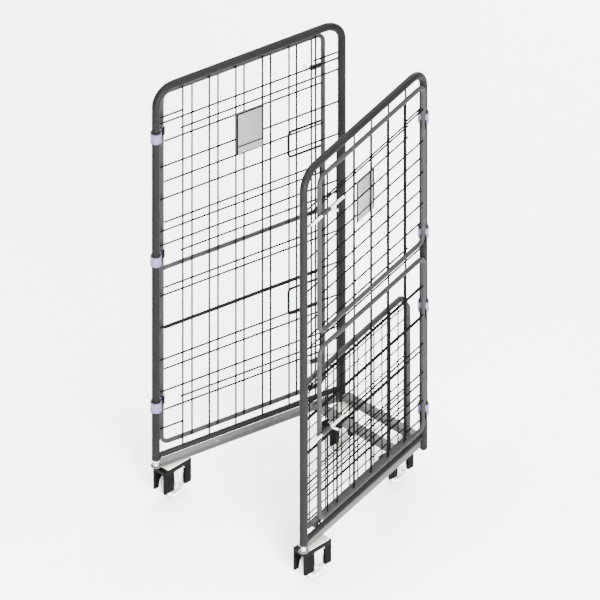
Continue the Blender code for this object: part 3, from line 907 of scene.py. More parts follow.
class Finish(Enum):
    """Each finish on the cage."""

    POST = CoatedSteel("post_tube", (0.0060, 0.0060, 0.0062), gloss=0.03)
    GATE = CoatedSteel("gate_tube", (0.016, 0.016, 0.0164), gloss=0.04)
    WIRE = CoatedSteel("wire", (0.0022, 0.0022, 0.0022), 0.50, gloss=0.01)
    BASE = CoatedSteel("base_steel", (0.046, 0.046, 0.0445), 0.45)
    ZINC = ZincPlate("zinc_plate", (0.50, 0.50, 0.47))
    CLIP = Moulding("clip", (0.070, 0.062, 0.135), (0.12, 0.11, 0.20))
    GUARD = Moulding("guard", (0.0011, 0.0011, 0.0012), (0.004, 0.004, 0.004), 0.50, 0.04)
    HUB = Moulding("hub", (0.34, 0.34, 0.32), (0.24, 0.23, 0.21))
    FRONT_TYRE = TreadRubber("tyre", (0.66, 0.66, 0.64), FRONT_AXLE_Y)
    REAR_TYRE = TreadRubber("tyre", (0.66, 0.66, 0.64), REAR_AXLE_Y)
    LABEL = LabelPaint("label_plate", (0.115, 0.115, 0.115))
    FLOOR = PaleFloor("floor")

    @property
    def made(self) -> bpy.types.Material:
        """The finish's material, built the first time that it is asked for.

        Returns:
            The material.
        """
        if self not in MADE:
            MADE[self] = self.value.material()
        return MADE[self]


MADE: dict[Finish, bpy.types.Material] = {}


def publish(
    pieces: bpy.types.Object | Sequence[bpy.types.Object],
    body: str,
    finish: Finish,
    nodes: Sequence[str] = (),
    place: Matrix | None = None,
) -> bpy.types.Object:
    """Finishes a piece: joins it, puts it in its place, dresses it and hangs it on its body.

    Args:
        pieces: The piece, or the parts that make it up; the first gives its name.
        body: The CAD body it moves with.
        finish: Its finish.
        nodes: CAD nodes that it stands for.
        place: The matrix from the frame it was modelled in to the world's.

    Returns:
        The finished piece.
    """
    obj = join([pieces] if isinstance(pieces, bpy.types.Object) else list(pieces))
    activate(obj)
    if place is not None:
        obj.matrix_world = place
        bpy.ops.object.transform_apply(location=True, rotation=True, scale=True)
    bpy.ops.object.shade_smooth_by_angle(angle=SMOOTH_ANGLE)
    obj.data.materials.clear()
    obj.data.materials.append(finish.made)
    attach(obj, body)
    if nodes:
        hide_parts(*nodes)
    LOG.info("%s: %d faces on %s, %s", obj.name, len(obj.data.polygons), body, finish.value.slot)
    return obj


# Sub-assemblies


@dataclass
class WireGrille:
    """Round wires in two layers, welded where they cross."""

    name: str
    columns_at: float  # X of the upright wires' layer
    rows_at: float
    columns: list[tuple[float, float, float]] = field(default_factory=list)  # Y, low, high
    rows: list[tuple[float, float, float]] = field(default_factory=list)  # Z, near, far
    radius: float = 0.003
    sides: int = 10
    spot: float = 0.0039  # half height of a weld
    spot_depth: float = 0.0024  # half a weld's size across the layers

    def build(self) -> list[bpy.types.Object]:
        """Models the wires and their welds.

        Returns:
            The parts, which are still separate.
        """
        parts = []
        for y, low, high in self.columns:
            ends = (self.columns_at, y, low), (self.columns_at, y, high)
            parts.append(bar(self.name, *ends, self.radius, self.sides))
        for z, near, far in self.rows:
            ends = (self.rows_at, near, z), (self.rows_at, far, z)
            parts.append(bar(self.name, *ends, self.radius, self.sides))
        middle = (self.columns_at + self.rows_at) / 2
        size = (self.spot_depth, self.spot, self.spot)
        bead = weld_spot(self.name + "_spot", (middle, 0.0, 0.0), size)
        parts += duplicate(bead, self.crossings())
        remove(bead)
        return parts

    def crossings(self) -> list[Vector]:
        """Where each upright wire crosses a row that reaches it.

        Returns:
            A step along the side and up for each crossing.
        """
        return [
            Vector((0.0, y, z))
            for y, low, high in self.columns
            for z, near, far in self.rows
            if near <= y <= far and low <= z <= high
        ]


@dataclass
class SidePanel:
    """One side: its bent tube, rail, grille and label holder."""

    side: Side
    hinge_y: float  # of the post that the gates turn on
    clips: tuple[float, ...]
    label_face: int  # -1 for the inner face, 1 for the outer
    post_radius: float = 0.014
    post_bend: float = 0.070
    top: float = 1.686
    front_foot: float = 0.167
    rear_foot: float = 0.116
    rail_radius: float = 0.010
    rail_height: float = 0.180
    bays: int = 7
    row_heights: tuple[float, ...] = (
        *(1.539, 1.493, 1.360, 1.227, 1.095, 1.037),
        *(0.990, 0.830, 0.700, 0.566, 0.435, 0.388),
    )
    stub_heights: tuple[float, float] = (1.564, 0.284)
    clip_half: float = 0.019
    ring_radius: float = 0.017
    ring_height: float = 0.006
    ring_edge: tuple[float, float] = (0.0008, 0.0009)  # across and along
    clip_room: float = 0.005  # between a clip's ring and the nearest row
    sink: float = 0.002  # how far rails and wires run into a post
    past: float = 0.005  # how far a row runs past the wire that it stops at
    label_bay: int = 3  # bays in front of the label
    label_foot: float = 1.305
    label_head: float = 1.470
    label_back: float = 0.0063
    label_front: float = 0.0075
    label_lip: float = 0.027
    label_rim_width: float = 0.005
    label_rim_front: float = 0.0098
    right_row_drop: float = 0.029  # the right side's rows sit this much lower
    layer: float = 0.0025  # of each wire layer from the side's plane
    gap: float = 0.0003

    def build(self) -> None:
        """Builds every piece of the side."""
        for pieces, finish, word in (
            (self.tube(), Finish.POST, "frame"),
            (self.rail(), Finish.POST, "rail"),
            (self.grille(), Finish.WIRE, "mesh"),
            (self.label(), Finish.LABEL, "label"),
        ):
            node = f"side_{self.side.word}_{word}"
            publish(pieces, self.body, finish, [node], self.side.frame)
        publish(self.label_rim(), self.body, Finish.WIRE, (), self.side.frame)

    @property
    def body(self) -> str:
        """The CAD body that the side moves with."""
        return f"side_{self.side.word}"

    def tube(self) -> list[bpy.types.Object]:
        """The U-shaped tube, with a ring welded on over and under each clip.

        Returns:
            The tube and its rings.
        """
        name = f"{self.body}_tube"
        corners = (
            (0.0, 0.0, self.front_foot),
            (0.0, 0.0, self.top),
            (0.0, SIDE_DEPTH, self.top),
            (0.0, SIDE_DEPTH, self.rear_foot + self.post_radius),
        )
        tip = ((0.004, 0.93), (0.004, 0.84), (0.003, 0.74), (0.002, 0.60), (0.001, 0.45))
        parts = [tube_through(name, corners, self.post_radius, self.post_bend, 28, tip=tip)]
        inset_foot(parts[0], self.front_foot)
        across, along = self.ring_edge
        inner, outer = self.post_radius - across, self.ring_radius
        profile = (
            (inner, 0.0),
            (outer - across, 0.0),
            (outer, along),
            (outer, self.ring_height - along),
            (outer - across, self.ring_height),
            (inner, self.ring_height),
        )
        ring = turning(name + "_ring", profile, 28)
        reach = self.clip_half + self.gap
        levels = [height + reach for height in self.clips]
        levels += [height - reach - self.ring_height for height in self.clips]
        parts += duplicate(ring, [Vector((0.0, self.hinge_y, level)) for level in levels])
        remove(ring)
        return parts

    def rail(self) -> list[bpy.types.Object]:
        """The bottom rail and the weld at each end.

        Returns:
            The rail and its welds.
        """
        name = f"{self.body}_bottom_rail"
        inside = self.post_radius - self.sink
        ends = (0.0, inside, self.rail_height), (0.0, SIDE_DEPTH - inside, self.rail_height)
        parts = [bar(name, *ends, self.rail_radius, 24)]
        for seed, y in enumerate((self.post_radius, SIDE_DEPTH - self.post_radius)):
            centre = (0.0, y, self.rail_height)
            parts.append(weld_ring(name, centre, ALONG, self.rail_radius, WELD, seed))
        return parts

    def is_held(self, height: float, at_y: float) -> bool:
        """Whether a clip turns on the post at this height."""
        room = self.clip_half + self.ring_height + self.clip_room
        return self.hinge_y == at_y and any(abs(height - level) < room for level in self.clips)

    def grille(self) -> list[bpy.types.Object]:
        """The wire grille. A row stops at the first wire where a clip turns on the post.

        Returns:
            The wires and their welds.
        """
        pitch = SIDE_DEPTH / self.bays
        front = self.post_radius - self.sink
        rear = SIDE_DEPTH - front
        near, far = pitch - self.past, SIDE_DEPTH - pitch + self.past
        low = self.rail_height + self.rail_radius - self.sink / 2
        high = self.top - self.post_radius + self.sink / 2
        out = self.side.value * self.layer
        grille = WireGrille(f"{self.body}_wires", -out, out)
        grille.columns = [(index * pitch, low, high) for index in range(1, self.bays)]
        drop = self.right_row_drop if self.side is Side.RIGHT else 0.0
        for z in (height - drop for height in self.row_heights):
            start = near if self.is_held(z, 0.0) else front
            end = far if self.is_held(z, SIDE_DEPTH) else rear
            grille.rows.append((z, start, end))
        for z in (height - drop for height in self.stub_heights):
            if not self.is_held(z, 0.0):
                grille.rows.append((z, front, pitch + self.past))
            if not self.is_held(z, SIDE_DEPTH):
                grille.rows.append((z, far - 2 * self.past, rear))
        return grille.build()

    def label_box(self) -> tuple[float, float, float, float]:
        """The label's place on the side.

        Returns:
            Its near and far ends, and its foot and top.
        """
        pitch = SIDE_DEPTH / self.bays
        near, far = self.label_bay * pitch, (self.label_bay + 1) * pitch
        return near, far, self.label_foot, self.label_head

    def label(self) -> list[bpy.types.Object]:
        """A blank card plate with a lip folded up along its foot.

        Returns:
            The plate and its lip.
        """
        name = f"{self.body}_label_plate"
        way = self.side.value * self.label_face
        near, far, low, high = self.label_box()
        back, face = way * self.label_back, way * self.label_front
        plate = block(name, (back, near, low), (face, far, high), 0.0004)
        lip_low = (face - way * 0.0002, near + 0.002, low + 0.0005)
        lip_high = (face + way * 0.0018, far - 0.002, low + self.label_lip)
        return [plate, block(name, lip_low, lip_high, 0.0005)]

    def label_rim(self) -> list[bpy.types.Object]:
        """The dark edging round the label's top and sides, and a dark strip over its lip that is
        painted shadow.

        Returns:
            The edging's strips.
        """
        name = f"{self.body}_label_rim"
        way = self.side.value * self.label_face
        near, far, low, high = self.label_box()
        face, front = way * (self.label_front - 0.0001), way * self.label_rim_front
        rim, lip = self.label_rim_width, low + self.label_lip
        inner_near, inner_far = near + rim - 0.0005, far - rim + 0.0005
        spans = (
            ((near, low), (near + rim, high)),
            ((far - rim, low), (far, high)),
            ((inner_near, high - rim), (inner_far, high)),
            # painted shadow: a dark strip laid just over the lip, where the lip would cast shade on
            # the plate
            ((inner_near, lip - 0.0004), (inner_far, lip + 0.003)),
        )
        return [
            block(name, (face, y, z), (front, end, top), 0.0006)
            for (y, z), (end, top) in spans
        ]


def inset_foot(tube: bpy.types.Object, height: float) -> None:
    """Opens a post's foot: a bushing's hole, sunk into its closed end.

    Args:
        tube: The bent tube.
        height: The foot's height.
    """
    with editing(tube):
        pick_faces(
            tube,
            lambda centre, normal: normal.z < -0.9
            and abs(centre.z - height) < 0.001
            and abs(centre.y) < 0.02,
        )
        for width, depth in ((0.0025, 0.003), (0.0045, 0.060)):  # the tube's wall, the bushing's
            bpy.ops.mesh.inset(thickness=width)
            bpy.ops.mesh.extrude_region_move(TRANSFORM_OT_translate={"value": (0, 0, depth)})


@dataclass
class Gate:
    """A gate folded flat outside its side: tube loop, grille, clips and slide bolts."""

    name: str
    side: Side
    low: float
    high: float
    clips: dict[str, float]
    bolts: dict[str, float]  # keyed by the end of the bolt's name
    bolt_ends: tuple[float, float]
    rows: tuple[float, ...]
    mid: float | None = None
    handles: dict[str, float] = field(default_factory=dict)
    offset: float = 0.025  # of the gate's plane from its side's
    near: float = 0.039
    far: float = 0.684
    tube: float = 0.008
    bend: float = 0.030
    columns: tuple[float, ...] = (0.153, 0.257, 0.361, 0.467, 0.571, 0.630)
    layer: float = 0.0025  # of each wire layer from the grille's plane
    mid_inset: float = 0.0093  # of the grille's plane where there is a mid tube
    mid_radius: float = 0.0076
    sink: float = 0.0015  # how far a wire runs into the tube
    bolt_out: float = 0.0145  # of a bolt's axis from the gate's plane
    sleeve: tuple[float, float] = (0.640, 0.692)
    peg_top: float = 0.028  # above the bolt's axis
    handle_ends: tuple[float, float] = (0.554, 0.692)
    handle_half: float = 0.0515
    handle_wire: float = 0.004
    handle_bend: float = 0.015
    collar_half: float = 0.019
    collar_outer: float = 0.0195
    collar_bore: float = 0.01465
    collar_band: tuple[float, float] = (0.0115, 0.0125)  # half heights of the sunk middle
    collar_sunk: float = 0.0009
    collar_edge: float = 0.0012
    arm_root: float = 0.0168
    arm_half: tuple[float, float] = (0.0028, 0.0148)  # across and up
    arm_ribs: tuple[float, ...] = (-0.0134, 0.0, 0.0134)
    arm_rib_half: tuple[float, float] = (0.0045, 0.0014)
    saddle_half: float = 0.0155
    saddle_wall: float = 0.0033
    saddle_opening: float = 100.0  # degrees

    @property
    def along(self) -> int:
        """The way from the hinge post to the gate's free end."""
        return -self.side.value

    @property
    def hinge_y(self) -> float:
        """The hinge post's place along the side."""
        return 0.0 if self.side is Side.LEFT else SIDE_DEPTH

    def at(self, distance: float, height: float, out: float = 0.0) -> Vector:
        """A point from its distance from the hinge, its height and its step outwards."""
        x = self.side.value * (self.offset + out)
        return Vector((x, self.hinge_y + self.along * distance, height))

    def build(self) -> None:
        """Builds every piece of the gate."""
        place = self.side.frame
        publish(self.frame(), self.name, Finish.GATE, [f"{self.name}_frame"], place)
        publish(self.grille(), self.name, Finish.WIRE, [f"{self.name}_mesh"], place)
        for word, height in self.clips.items():
            clip, saddle = self.clip(word, height)
            publish(clip, self.name, Finish.CLIP, [f"{self.name}_clip_{word}"], place)
            publish(saddle, self.name, Finish.GUARD, (), place)
        for word, height in self.bolts.items():
            node = f"{self.name}_{word}"
            publish(self.bolt(node, height), node, Finish.ZINC, [node], place)
        for word, height in self.handles.items():
            node = f"{self.name}_handle_{word}"
            publish(self.handle(node, height), self.name, Finish.WIRE, [node], place)

    def frame(self) -> list[bpy.types.Object]:
        """The tube loop, with its mid tube and a guide for each bolt.

        Returns:
            The tubes, their welds and the guides' parts.
        """
        name = f"{self.name}_tube"
        corners = (
            self.at(self.near, self.low),
            self.at(self.far, self.low),
            self.at(self.far, self.high),
            self.at(self.near, self.high),
        )
        parts = [tube_through(name, corners, self.tube, self.bend, 20, closed=True)]
        if self.mid is not None:
            ends = self.at(self.near + 0.004, self.mid), self.at(self.far - 0.004, self.mid)
            parts.append(bar(name, *ends, self.mid_radius, 18))
            for seed, distance in enumerate((self.near + self.tube, self.far - self.tube)):
                centre = self.at(distance, self.mid)
                parts.append(weld_ring(name, centre, ALONG, self.mid_radius, FINE_WELD, seed))
        for height in self.bolts.values():
            parts += self.guide(name, height)
        return parts

    def guide(self, name: str, height: float) -> list[bpy.types.Object]:
        """A bolt's guide: a bored sleeve on a saddle that is welded to the gate's tube.

        Args:
            name: The start of its parts' names.
            height: The bolt's height.

        Returns:
            The sleeve and its saddle.
        """
        start, end = self.sleeve
        length = end - start
        flare, body, bore = 0.0078, 0.0070, 0.0056
        sleeve = turning(
            name + "_sleeve",
            (
                (bore, 0.0),
                (flare - 0.0006, 0.0),
                (flare, 0.0006),
                (flare, 0.0034),
                (body, 0.0044),
                (body, length - 0.0044),
                (flare, length - 0.0034),
                (flare, length - 0.0006),
                (flare - 0.0006, length),
                (bore, length),
            ),
            20,
        )
        lying = Matrix.Rotation(-self.along * pi / 2, 4, "X")
        sleeve.data.transform(Matrix.Translation(self.at(start, height, self.bolt_out)) @ lying)
        saddle_low = self.at(start + 0.006, height - 0.0062, self.tube - 0.0028)
        saddle_high = self.at(end - 0.001, height + 0.0062, self.bolt_out - bore - 0.0002)
        saddle = block(name + "_saddle", saddle_low, saddle_high, 0.0008)
        return [sleeve, saddle]

    def grille(self) -> list[bpy.types.Object]:
        """The gate's wires, which pass inside the mid tube where there is one.

        Returns:
            The wires and their welds.
        """
        inset = self.mid_inset if self.mid is not None else 0.0
        out = self.side.value * self.layer
        plane = self.side.value * (self.offset - inset)
        grille = WireGrille(f"{self.name}_wires", plane - out, plane + out)
        reach = self.tube - self.sink
        over = -0.0002 if self.mid is not None else reach
        grille.columns = [
            (self.at(distance, 0.0).y, self.low + over, self.high - over)
            for distance in self.columns
        ]
        ends = sorted((self.at(self.near + reach, 0.0).y, self.at(self.far - reach, 0.0).y))
        grille.rows = [(height, *ends) for height in self.rows]
        return grille.build()

    def clip(self, word: str, height: float) -> tuple[list[bpy.types.Object], bpy.types.Object]:
        """A collar that turns on the post, with a ribbed arm, and the dark saddle on the tube.

        Args:
            word: The clip's place on the gate.
            height: Its middle.

        Returns:
            The collar's parts, and the saddle.
        """
        name = f"{self.name}_collar_{word}"
        half, outer, bore = self.collar_half, self.collar_outer, self.collar_bore
        inner_band, outer_band = self.collar_band
        sunk, edge = outer - self.collar_sunk, self.collar_edge
        profile = (
            (bore, half),
            (bore, -half),
            (outer - edge, -half),
            (outer, -half + edge),
            (outer, -outer_band),
            (sunk, -inner_band),
            (sunk, inner_band),
            (outer, outer_band),
            (outer, half - edge),
            (outer - edge, half),
        )
        toward = self.at(self.near, 0.0) - Vector((0.0, self.hinge_y, 0.0))
        reach = hypot(toward.x, toward.y)
        root, end = self.arm_root, reach - self.tube - LOOSE
        across, up = self.arm_half
        parts = [
            turning(name, profile, 32),
            block(name, (root, -across, -up), (end, across, up), 0.0007),
        ]
        across, up = self.arm_rib_half
        for z in self.arm_ribs:
            low, high = (root + 0.0004, -across, z - up), (end, across, z + up)
            parts.append(block(name, low, high, 0.0005))
        saddle = self.saddle(f"{self.name}_saddle_{word}", reach)
        turn = Matrix.Rotation(atan2(toward.y, toward.x), 4, "Z")
        place = Matrix.Translation((0.0, self.hinge_y, height)) @ turn
        for part in (*parts, saddle):
            part.data.transform(place)
        return parts, saddle

    def saddle(self, name: str, reach: float) -> bpy.types.Object:
        """The open ring that snaps onto the gate's tube, spun from its section.

        Args:
            name: The saddle's name.
            reach: From the post's axis to the axis of the gate's tube.

        Returns:
            The saddle, in the clip's own frame.
        """
        inner, half = self.tube + LOOSE / 2, self.saddle_half
        middle = inner + self.saddle_wall / 2
        bpy.ops.mesh.primitive_plane_add(
            size=1.0, location=(reach - middle, 0.0, 0.0), rotation=(pi / 2, 0.0, 0.0)
        )
        bpy.context.object.scale = (self.saddle_wall, 2 * half, 1.0)
        saddle = settle(name)
        opening = radians(self.saddle_opening)
        axis_at = (reach, 0.0, 0.0)
        saddle.data.transform(
            Matrix.Translation(axis_at)
            @ Matrix.Rotation(-(pi - opening / 2), 4, "Z")
            @ Matrix.Translation((-reach, 0.0, 0.0))
        )
        with editing(saddle):
            bpy.ops.mesh.select_all(action="SELECT")
            bpy.ops.mesh.delete(type="ONLY_FACE")
            bpy.ops.mesh.select_all(action="SELECT")
            bpy.ops.mesh.spin(
                steps=24, angle=SPIN_WAY * (2 * pi - opening), center=axis_at, axis=UP
            )
            close_mesh()
        return soften(saddle, 0.0006)

    def bolt(self, node: str, height: float) -> list[bpy.types.Object]:
        """A slide bolt with a knobbed peg.

        Args:
            node: The bolt's CAD node.
            height: Its height.

        Returns:
            The rod, its peg and the peg's knob.
        """
        name = node + "_rod"
        start, end = (self.at(distance, height, self.bolt_out) for distance in self.bolt_ends)
        peg_at = self.sleeve[0] - 0.006
        root = self.at(peg_at, height, self.bolt_out)
        tip = self.at(peg_at, height, self.bolt_out + self.peg_top)
        return [
            bar(name, start, end, 0.005, 18, 0.0014),
            bar(name, root, tip, 0.0040, 14, 0.0012),
            bar(name, tip.lerp(root, 0.3), tip, 0.0045, 14, 0.0012),
        ]

    def handle(self, node: str, height: float) -> bpy.types.Object:
        """A pull loop bent from wire.

        Args:
            node: The handle's CAD node.
            height: Its middle.

        Returns:
            The loop.
        """
        out, half = self.tube + self.handle_wire + 0.0003, self.handle_half
        near, far = self.handle_ends
        corners = (
            self.at(far, height + half, out),
            self.at(near, height + half, out),
            self.at(near, height - half, out),
            self.at(far, height - half, out),
        )
        return tube_through(node + "_loop", corners, self.handle_wire, self.handle_bend, 14)


@dataclass
class Deck:
    """The folding deck, folded up against the right side, in a frame on its hinge axis."""

    inward: float = 0.030  # hinge axis inside the right side's plane
    axis_height: float = 0.172
    lean: float = 0.004
    tube: float = 0.010
    near: float = 0.022
    far: float = 0.618
    front: float = 0.050
    rear: float = 0.685
    chamfer_y: float = 0.040
    chamfer_z: float = 0.060
    pitch: float = 0.050
    first_column: float = 0.079
    first_row: float = 0.072
    wire: float = 0.00225
    layer: float = 0.00175  # of each wire layer from the deck's plane
    spot: float = 0.0030
    sink: float = 0.0015  # how far a wire runs into the tube
    tube_bend: float = 0.025
    eye_radius: float = 0.0065
    eyes: tuple[tuple[str, float, int], ...] = (("front", 0.120, 1), ("rear", 0.590, -1))
    eye_length: float = 0.030
    bore: float = 0.0046
    pin: float = 0.004
    pin_head: float = 0.0056
    pin_clip: float = 0.0055
    bracket_length: float = 0.016
    bracket_half: float = 0.0055
    bracket_back: float = 0.0060  # behind the pin's axis

    def build(self) -> None:
        """Builds every piece of the deck and its brackets."""
        offset = Matrix.Translation((-self.inward, 0.0, self.axis_height))
        place = Side.RIGHT.frame @ offset
        publish(self.frame(), "deck", Finish.GATE, ["deck_frame"], place)
        publish(self.grille(), "deck", Finish.WIRE, ["deck_mesh"], place)
        for word, start, way in self.eyes:
            pieces = self.bracket(f"deck_bracket_{word}", start, way)
            publish(pieces, "side_right", Finish.BASE, [f"deck_hinge_{word}"], place)

    def frame(self) -> list[bpy.types.Object]:
        """The tube loop with its cut corner, and the eyes that turn on the brackets' pins.

        Returns:
            The loop, and each eye with its web and welds.
        """
        name = "deck_tube"
        corners = (
            (self.lean, self.front, self.near),
            (self.lean, self.rear, self.near),
            (self.lean, self.rear, self.far - self.chamfer_z),
            (self.lean, self.rear - self.chamfer_y, self.far),
            (self.lean, self.front, self.far),
        )
        parts = [tube_through(name, corners, self.tube, self.tube_bend, 22, closed=True)]
        for _, start, way in self.eyes:
            end = start + way * self.eye_length
            outer, length = self.eye_radius, self.eye_length
            profile = (
                (self.bore, 0.0),
                (outer - 0.0007, 0.0),
                (outer, 0.0007),
                (outer, length - 0.0007),
                (outer - 0.0007, length),
                (self.bore, length),
            )
            eye = turning(f"{name}_eye", profile, 24)
            lying = Matrix.Rotation(-way * pi / 2, 4, "X")
            eye.data.transform(Matrix.Translation((0.0, start, 0.0)) @ lying)
            low, high = (-0.0028, start, 0.0055), (0.0048, end, self.near - 0.002)
            web = block(f"{name}_web", low, high, 0.0008)
            parts += [eye, web]
            for edge in (start, end):
                ends = (0.001, edge, 0.0065), (0.003, edge, self.near - self.tube + 0.001)
                parts.append(bar(name, *ends, 0.0014, 8, 0.0004))
        return parts

    def grille(self) -> list[bpy.types.Object]:
        """The close wire grille, which follows the cut corner.

        Returns:
            The wires and their welds.
        """
        inset = self.tube - self.sink
        low, high = self.lean - self.layer, self.lean + self.layer
        grille = WireGrille("deck_wires", low, high, radius=self.wire, spot=self.spot)
        y = self.first_column
        while y < self.rear - self.chamfer_y:
            grille.columns.append((y, self.near + inset, self.far - inset))
            y += self.pitch
        slope = self.chamfer_y / self.chamfer_z
        z = self.first_row
        while z < self.far - inset:
            above = max(0.0, z - (self.far - self.chamfer_z))
            cut = above * slope + inset * (hypot(1.0, slope) if above else 1.0)
            grille.rows.append((z, self.front + inset, self.rear - cut))
            z += self.pitch
        return grille.build()

    def bracket(self, name: str, start: float, way: int) -> list[bpy.types.Object]:
        """A block on the side's rail, with the headed pin that a deck eye turns on.

        Args:
            name: The bracket's name.
            start: The near end of its eye, along the side.
            way: The way that the eye lies from there.

        Returns:
            The block, the pin, its head and its retaining clip.
        """
        face = start - way * 0.0005
        back = face - way * self.bracket_length
        rail_face = self.inward - 0.0102
        low = (-self.bracket_back, face, -self.bracket_half)
        body = block(name, low, (rail_face + 0.002, back, self.bracket_half), 0.0010)
        beyond = start + way * (self.eye_length + 0.003)
        pin_ends = (0.0, back + way * 0.002, 0.0), (0.0, beyond, 0.0)
        head_ends = (0.0, back - way * 0.0006, 0.0), (0.0, back + way * 0.001, 0.0)
        clip_ends = (0.0, beyond - way * 0.0022, 0.0), (0.0, beyond - way * 0.0012, 0.0)
        return [
            body,
            bar(name, *pin_ends, self.pin, 18, 0.0008),
            bar(name, *head_ends, self.pin_head, 18, 0.0005),
            bar(name, *clip_ends, self.pin_clip, 18, 0.0002),
        ]


@dataclass
class Base:
    """The A-shaped base: two angle legs, two channels across, and the posts' pivots."""

    wall: float = 0.004
    flange: float = 0.020
    leg_end: float = 0.722
    foot_radius: float = 0.018
    pin_radius: float = 0.006
    pin_top: float = 0.232
    collar_radius: float = 0.010
    collar_height: float = 0.005
    beam_depth: float = 0.030
    rear_beam_y: float = 0.363
    rear_beam_half: float = 0.176
    mid_beam_y: float = 0.256

    def build(self) -> None:
        """Builds every piece of the base."""
        for side in Side:
            leg = self.leg(side)
            publish(leg, "base", Finish.BASE, [f"base_leg_{side.word}"], side.frame)
            pin = self.pivot(side)
            publish(pin, "base", Finish.ZINC, [f"pivot_pin_{side.word}"], side.frame)
        shift = Matrix.Translation((-BOX_CENTRE_X, 0.0, 0.0))
        half = self.rear_beam_half
        rear = self.beam("base_rear_channel", self.rear_beam_y, half, half)
        publish(rear, "base", Finish.BASE, ["base_rear_beam"], shift)
        front, back = (
            self.clear_half(self.mid_beam_y + way * self.beam_depth / 2) for way in (-1, 1)
        )
        mid = self.beam("base_mid_channel", self.mid_beam_y, front, back)
        publish(mid, "base", Finish.BASE, ["base_mid_beam"], shift)

    def clear_half(self, y: float) -> float:
        """Half the clear width between the legs' flanges.

        Args:
            y: Depth in the cage.

        Returns:
            The half width at that depth.
        """
        along = (y - FRONT_Y) / cos(SPLAY)
        edge = (self.flange - self.wall / 2) / cos(SPLAY)
        return WIDE_WIDTH / 2 - along * (WIDE_WIDTH - NARROW_WIDTH) / 2 / SIDE_DEPTH - edge

    def leg(self, side: Side) -> list[bpy.types.Object]:
        """An angle bar drawn out from its web, and the round foot under its post.

        Args:
            side: The side it stands under.

        Returns:
            The angle, its foot and the two welds between them.
        """
        name = f"base_angle_{side.word}"
        half = self.wall / 2
        start = self.foot_radius - half
        bpy.ops.mesh.primitive_cube_add(
            size=1.0,
            location=(0.0, (start + self.leg_end) / 2, (LEG_LOW + LEG_HIGH) / 2),
            scale=(self.wall, self.leg_end - start, LEG_HIGH - LEG_LOW),
        )
        angle = settle(name)
        shelf = LEG_LOW + self.wall
        with editing(angle):
            bpy.ops.mesh.select_all(action="SELECT")
            bpy.ops.mesh.bisect(plane_co=(0.0, 0.0, shelf), plane_no=UP)
            pick_faces(
                angle,
                lambda centre, normal: normal.x * side.value < -0.9 and centre.z < shelf,
            )
            step = (-side.value * (self.flange - self.wall), 0.0, 0.0)
            bpy.ops.mesh.extrude_region_move(TRANSFORM_OT_translate={"value": step})
        soften(angle, 0.0012, 3)
        rounded, hole, edge = self.foot_radius, self.pin_radius + LOOSE, 0.0008
        profile = (
            (hole, LEG_LOW),
            (rounded - edge, LEG_LOW),
            (rounded, LEG_LOW + edge),
            (rounded, shelf - edge),
            (rounded - edge, shelf),
            (hole, shelf),
        )
        foot = turning(name + "_foot", profile, 40)
        seam = (0.0, start + 0.001, shelf), (0.0, start + 0.001, LEG_HIGH - 0.004)
        toe = (-0.006, rounded - 0.0012, shelf), (0.006, rounded - 0.0012, shelf)
        return [angle, foot, bar(name, *seam, WELD, 8), bar(name, *toe, FINE_WELD, 8)]

    def pivot(self, side: Side) -> bpy.types.Object:
        """The turned pin that a post stands on, with its collar.

        Args:
            side: The side that turns on it.

        Returns:
            The pin.
        """
        name = f"pivot_stud_{side.word}"
        low = LEG_LOW + self.wall + 0.0002
        collar = low + self.collar_height
        edge, tip = 0.0006, 0.0020
        return turning(
            name,
            (
                (NEAR_AXIS, low),
                (self.collar_radius - edge, low),
                (self.collar_radius, low + edge),
                (self.collar_radius, collar - edge),
                (self.collar_radius - edge, collar),
                (self.pin_radius + edge, collar),
                (self.pin_radius, collar + edge),
                (self.pin_radius, self.pin_top - tip),
                (self.pin_radius - tip, self.pin_top),
                (NEAR_AXIS, self.pin_top),
            ),
            28,
            closed=False,
        )

    def beam(self, name: str, y: float, half_front: float, half_back: float) -> bpy.types.Object:
        """An inverted channel across the base: a bar whose underside is sunk.

        Args:
            name: The piece's name.
            y: Its middle's depth in the cage.
            half_front: Half its length along its front edge.
            half_back: Half its length along its back edge.

        Returns:
            The channel.
        """
        bpy.ops.mesh.primitive_cube_add(
            size=1.0,
            location=(0.0, y, (LEG_LOW + LEG_HIGH) / 2),
            scale=(2 * half_front, self.beam_depth, LEG_HIGH - LEG_LOW),
        )
        channel = settle(name)
        with editing(channel):
            pick_points(channel, lambda point: point.y > y)
            ratio = half_back / half_front
            bpy.ops.transform.resize(value=(ratio, 1.0, 1.0), center_override=(0.0, y, 0.0))
            pick_faces(channel, lambda centre, normal: normal.z < -0.9)
            bpy.ops.mesh.inset(thickness=self.wall)
            depth = LEG_HIGH - LEG_LOW - self.wall
            bpy.ops.mesh.extrude_region_move(TRANSFORM_OT_translate={"value": (0, 0, depth)})
        return soften(channel, 0.0012, 3)


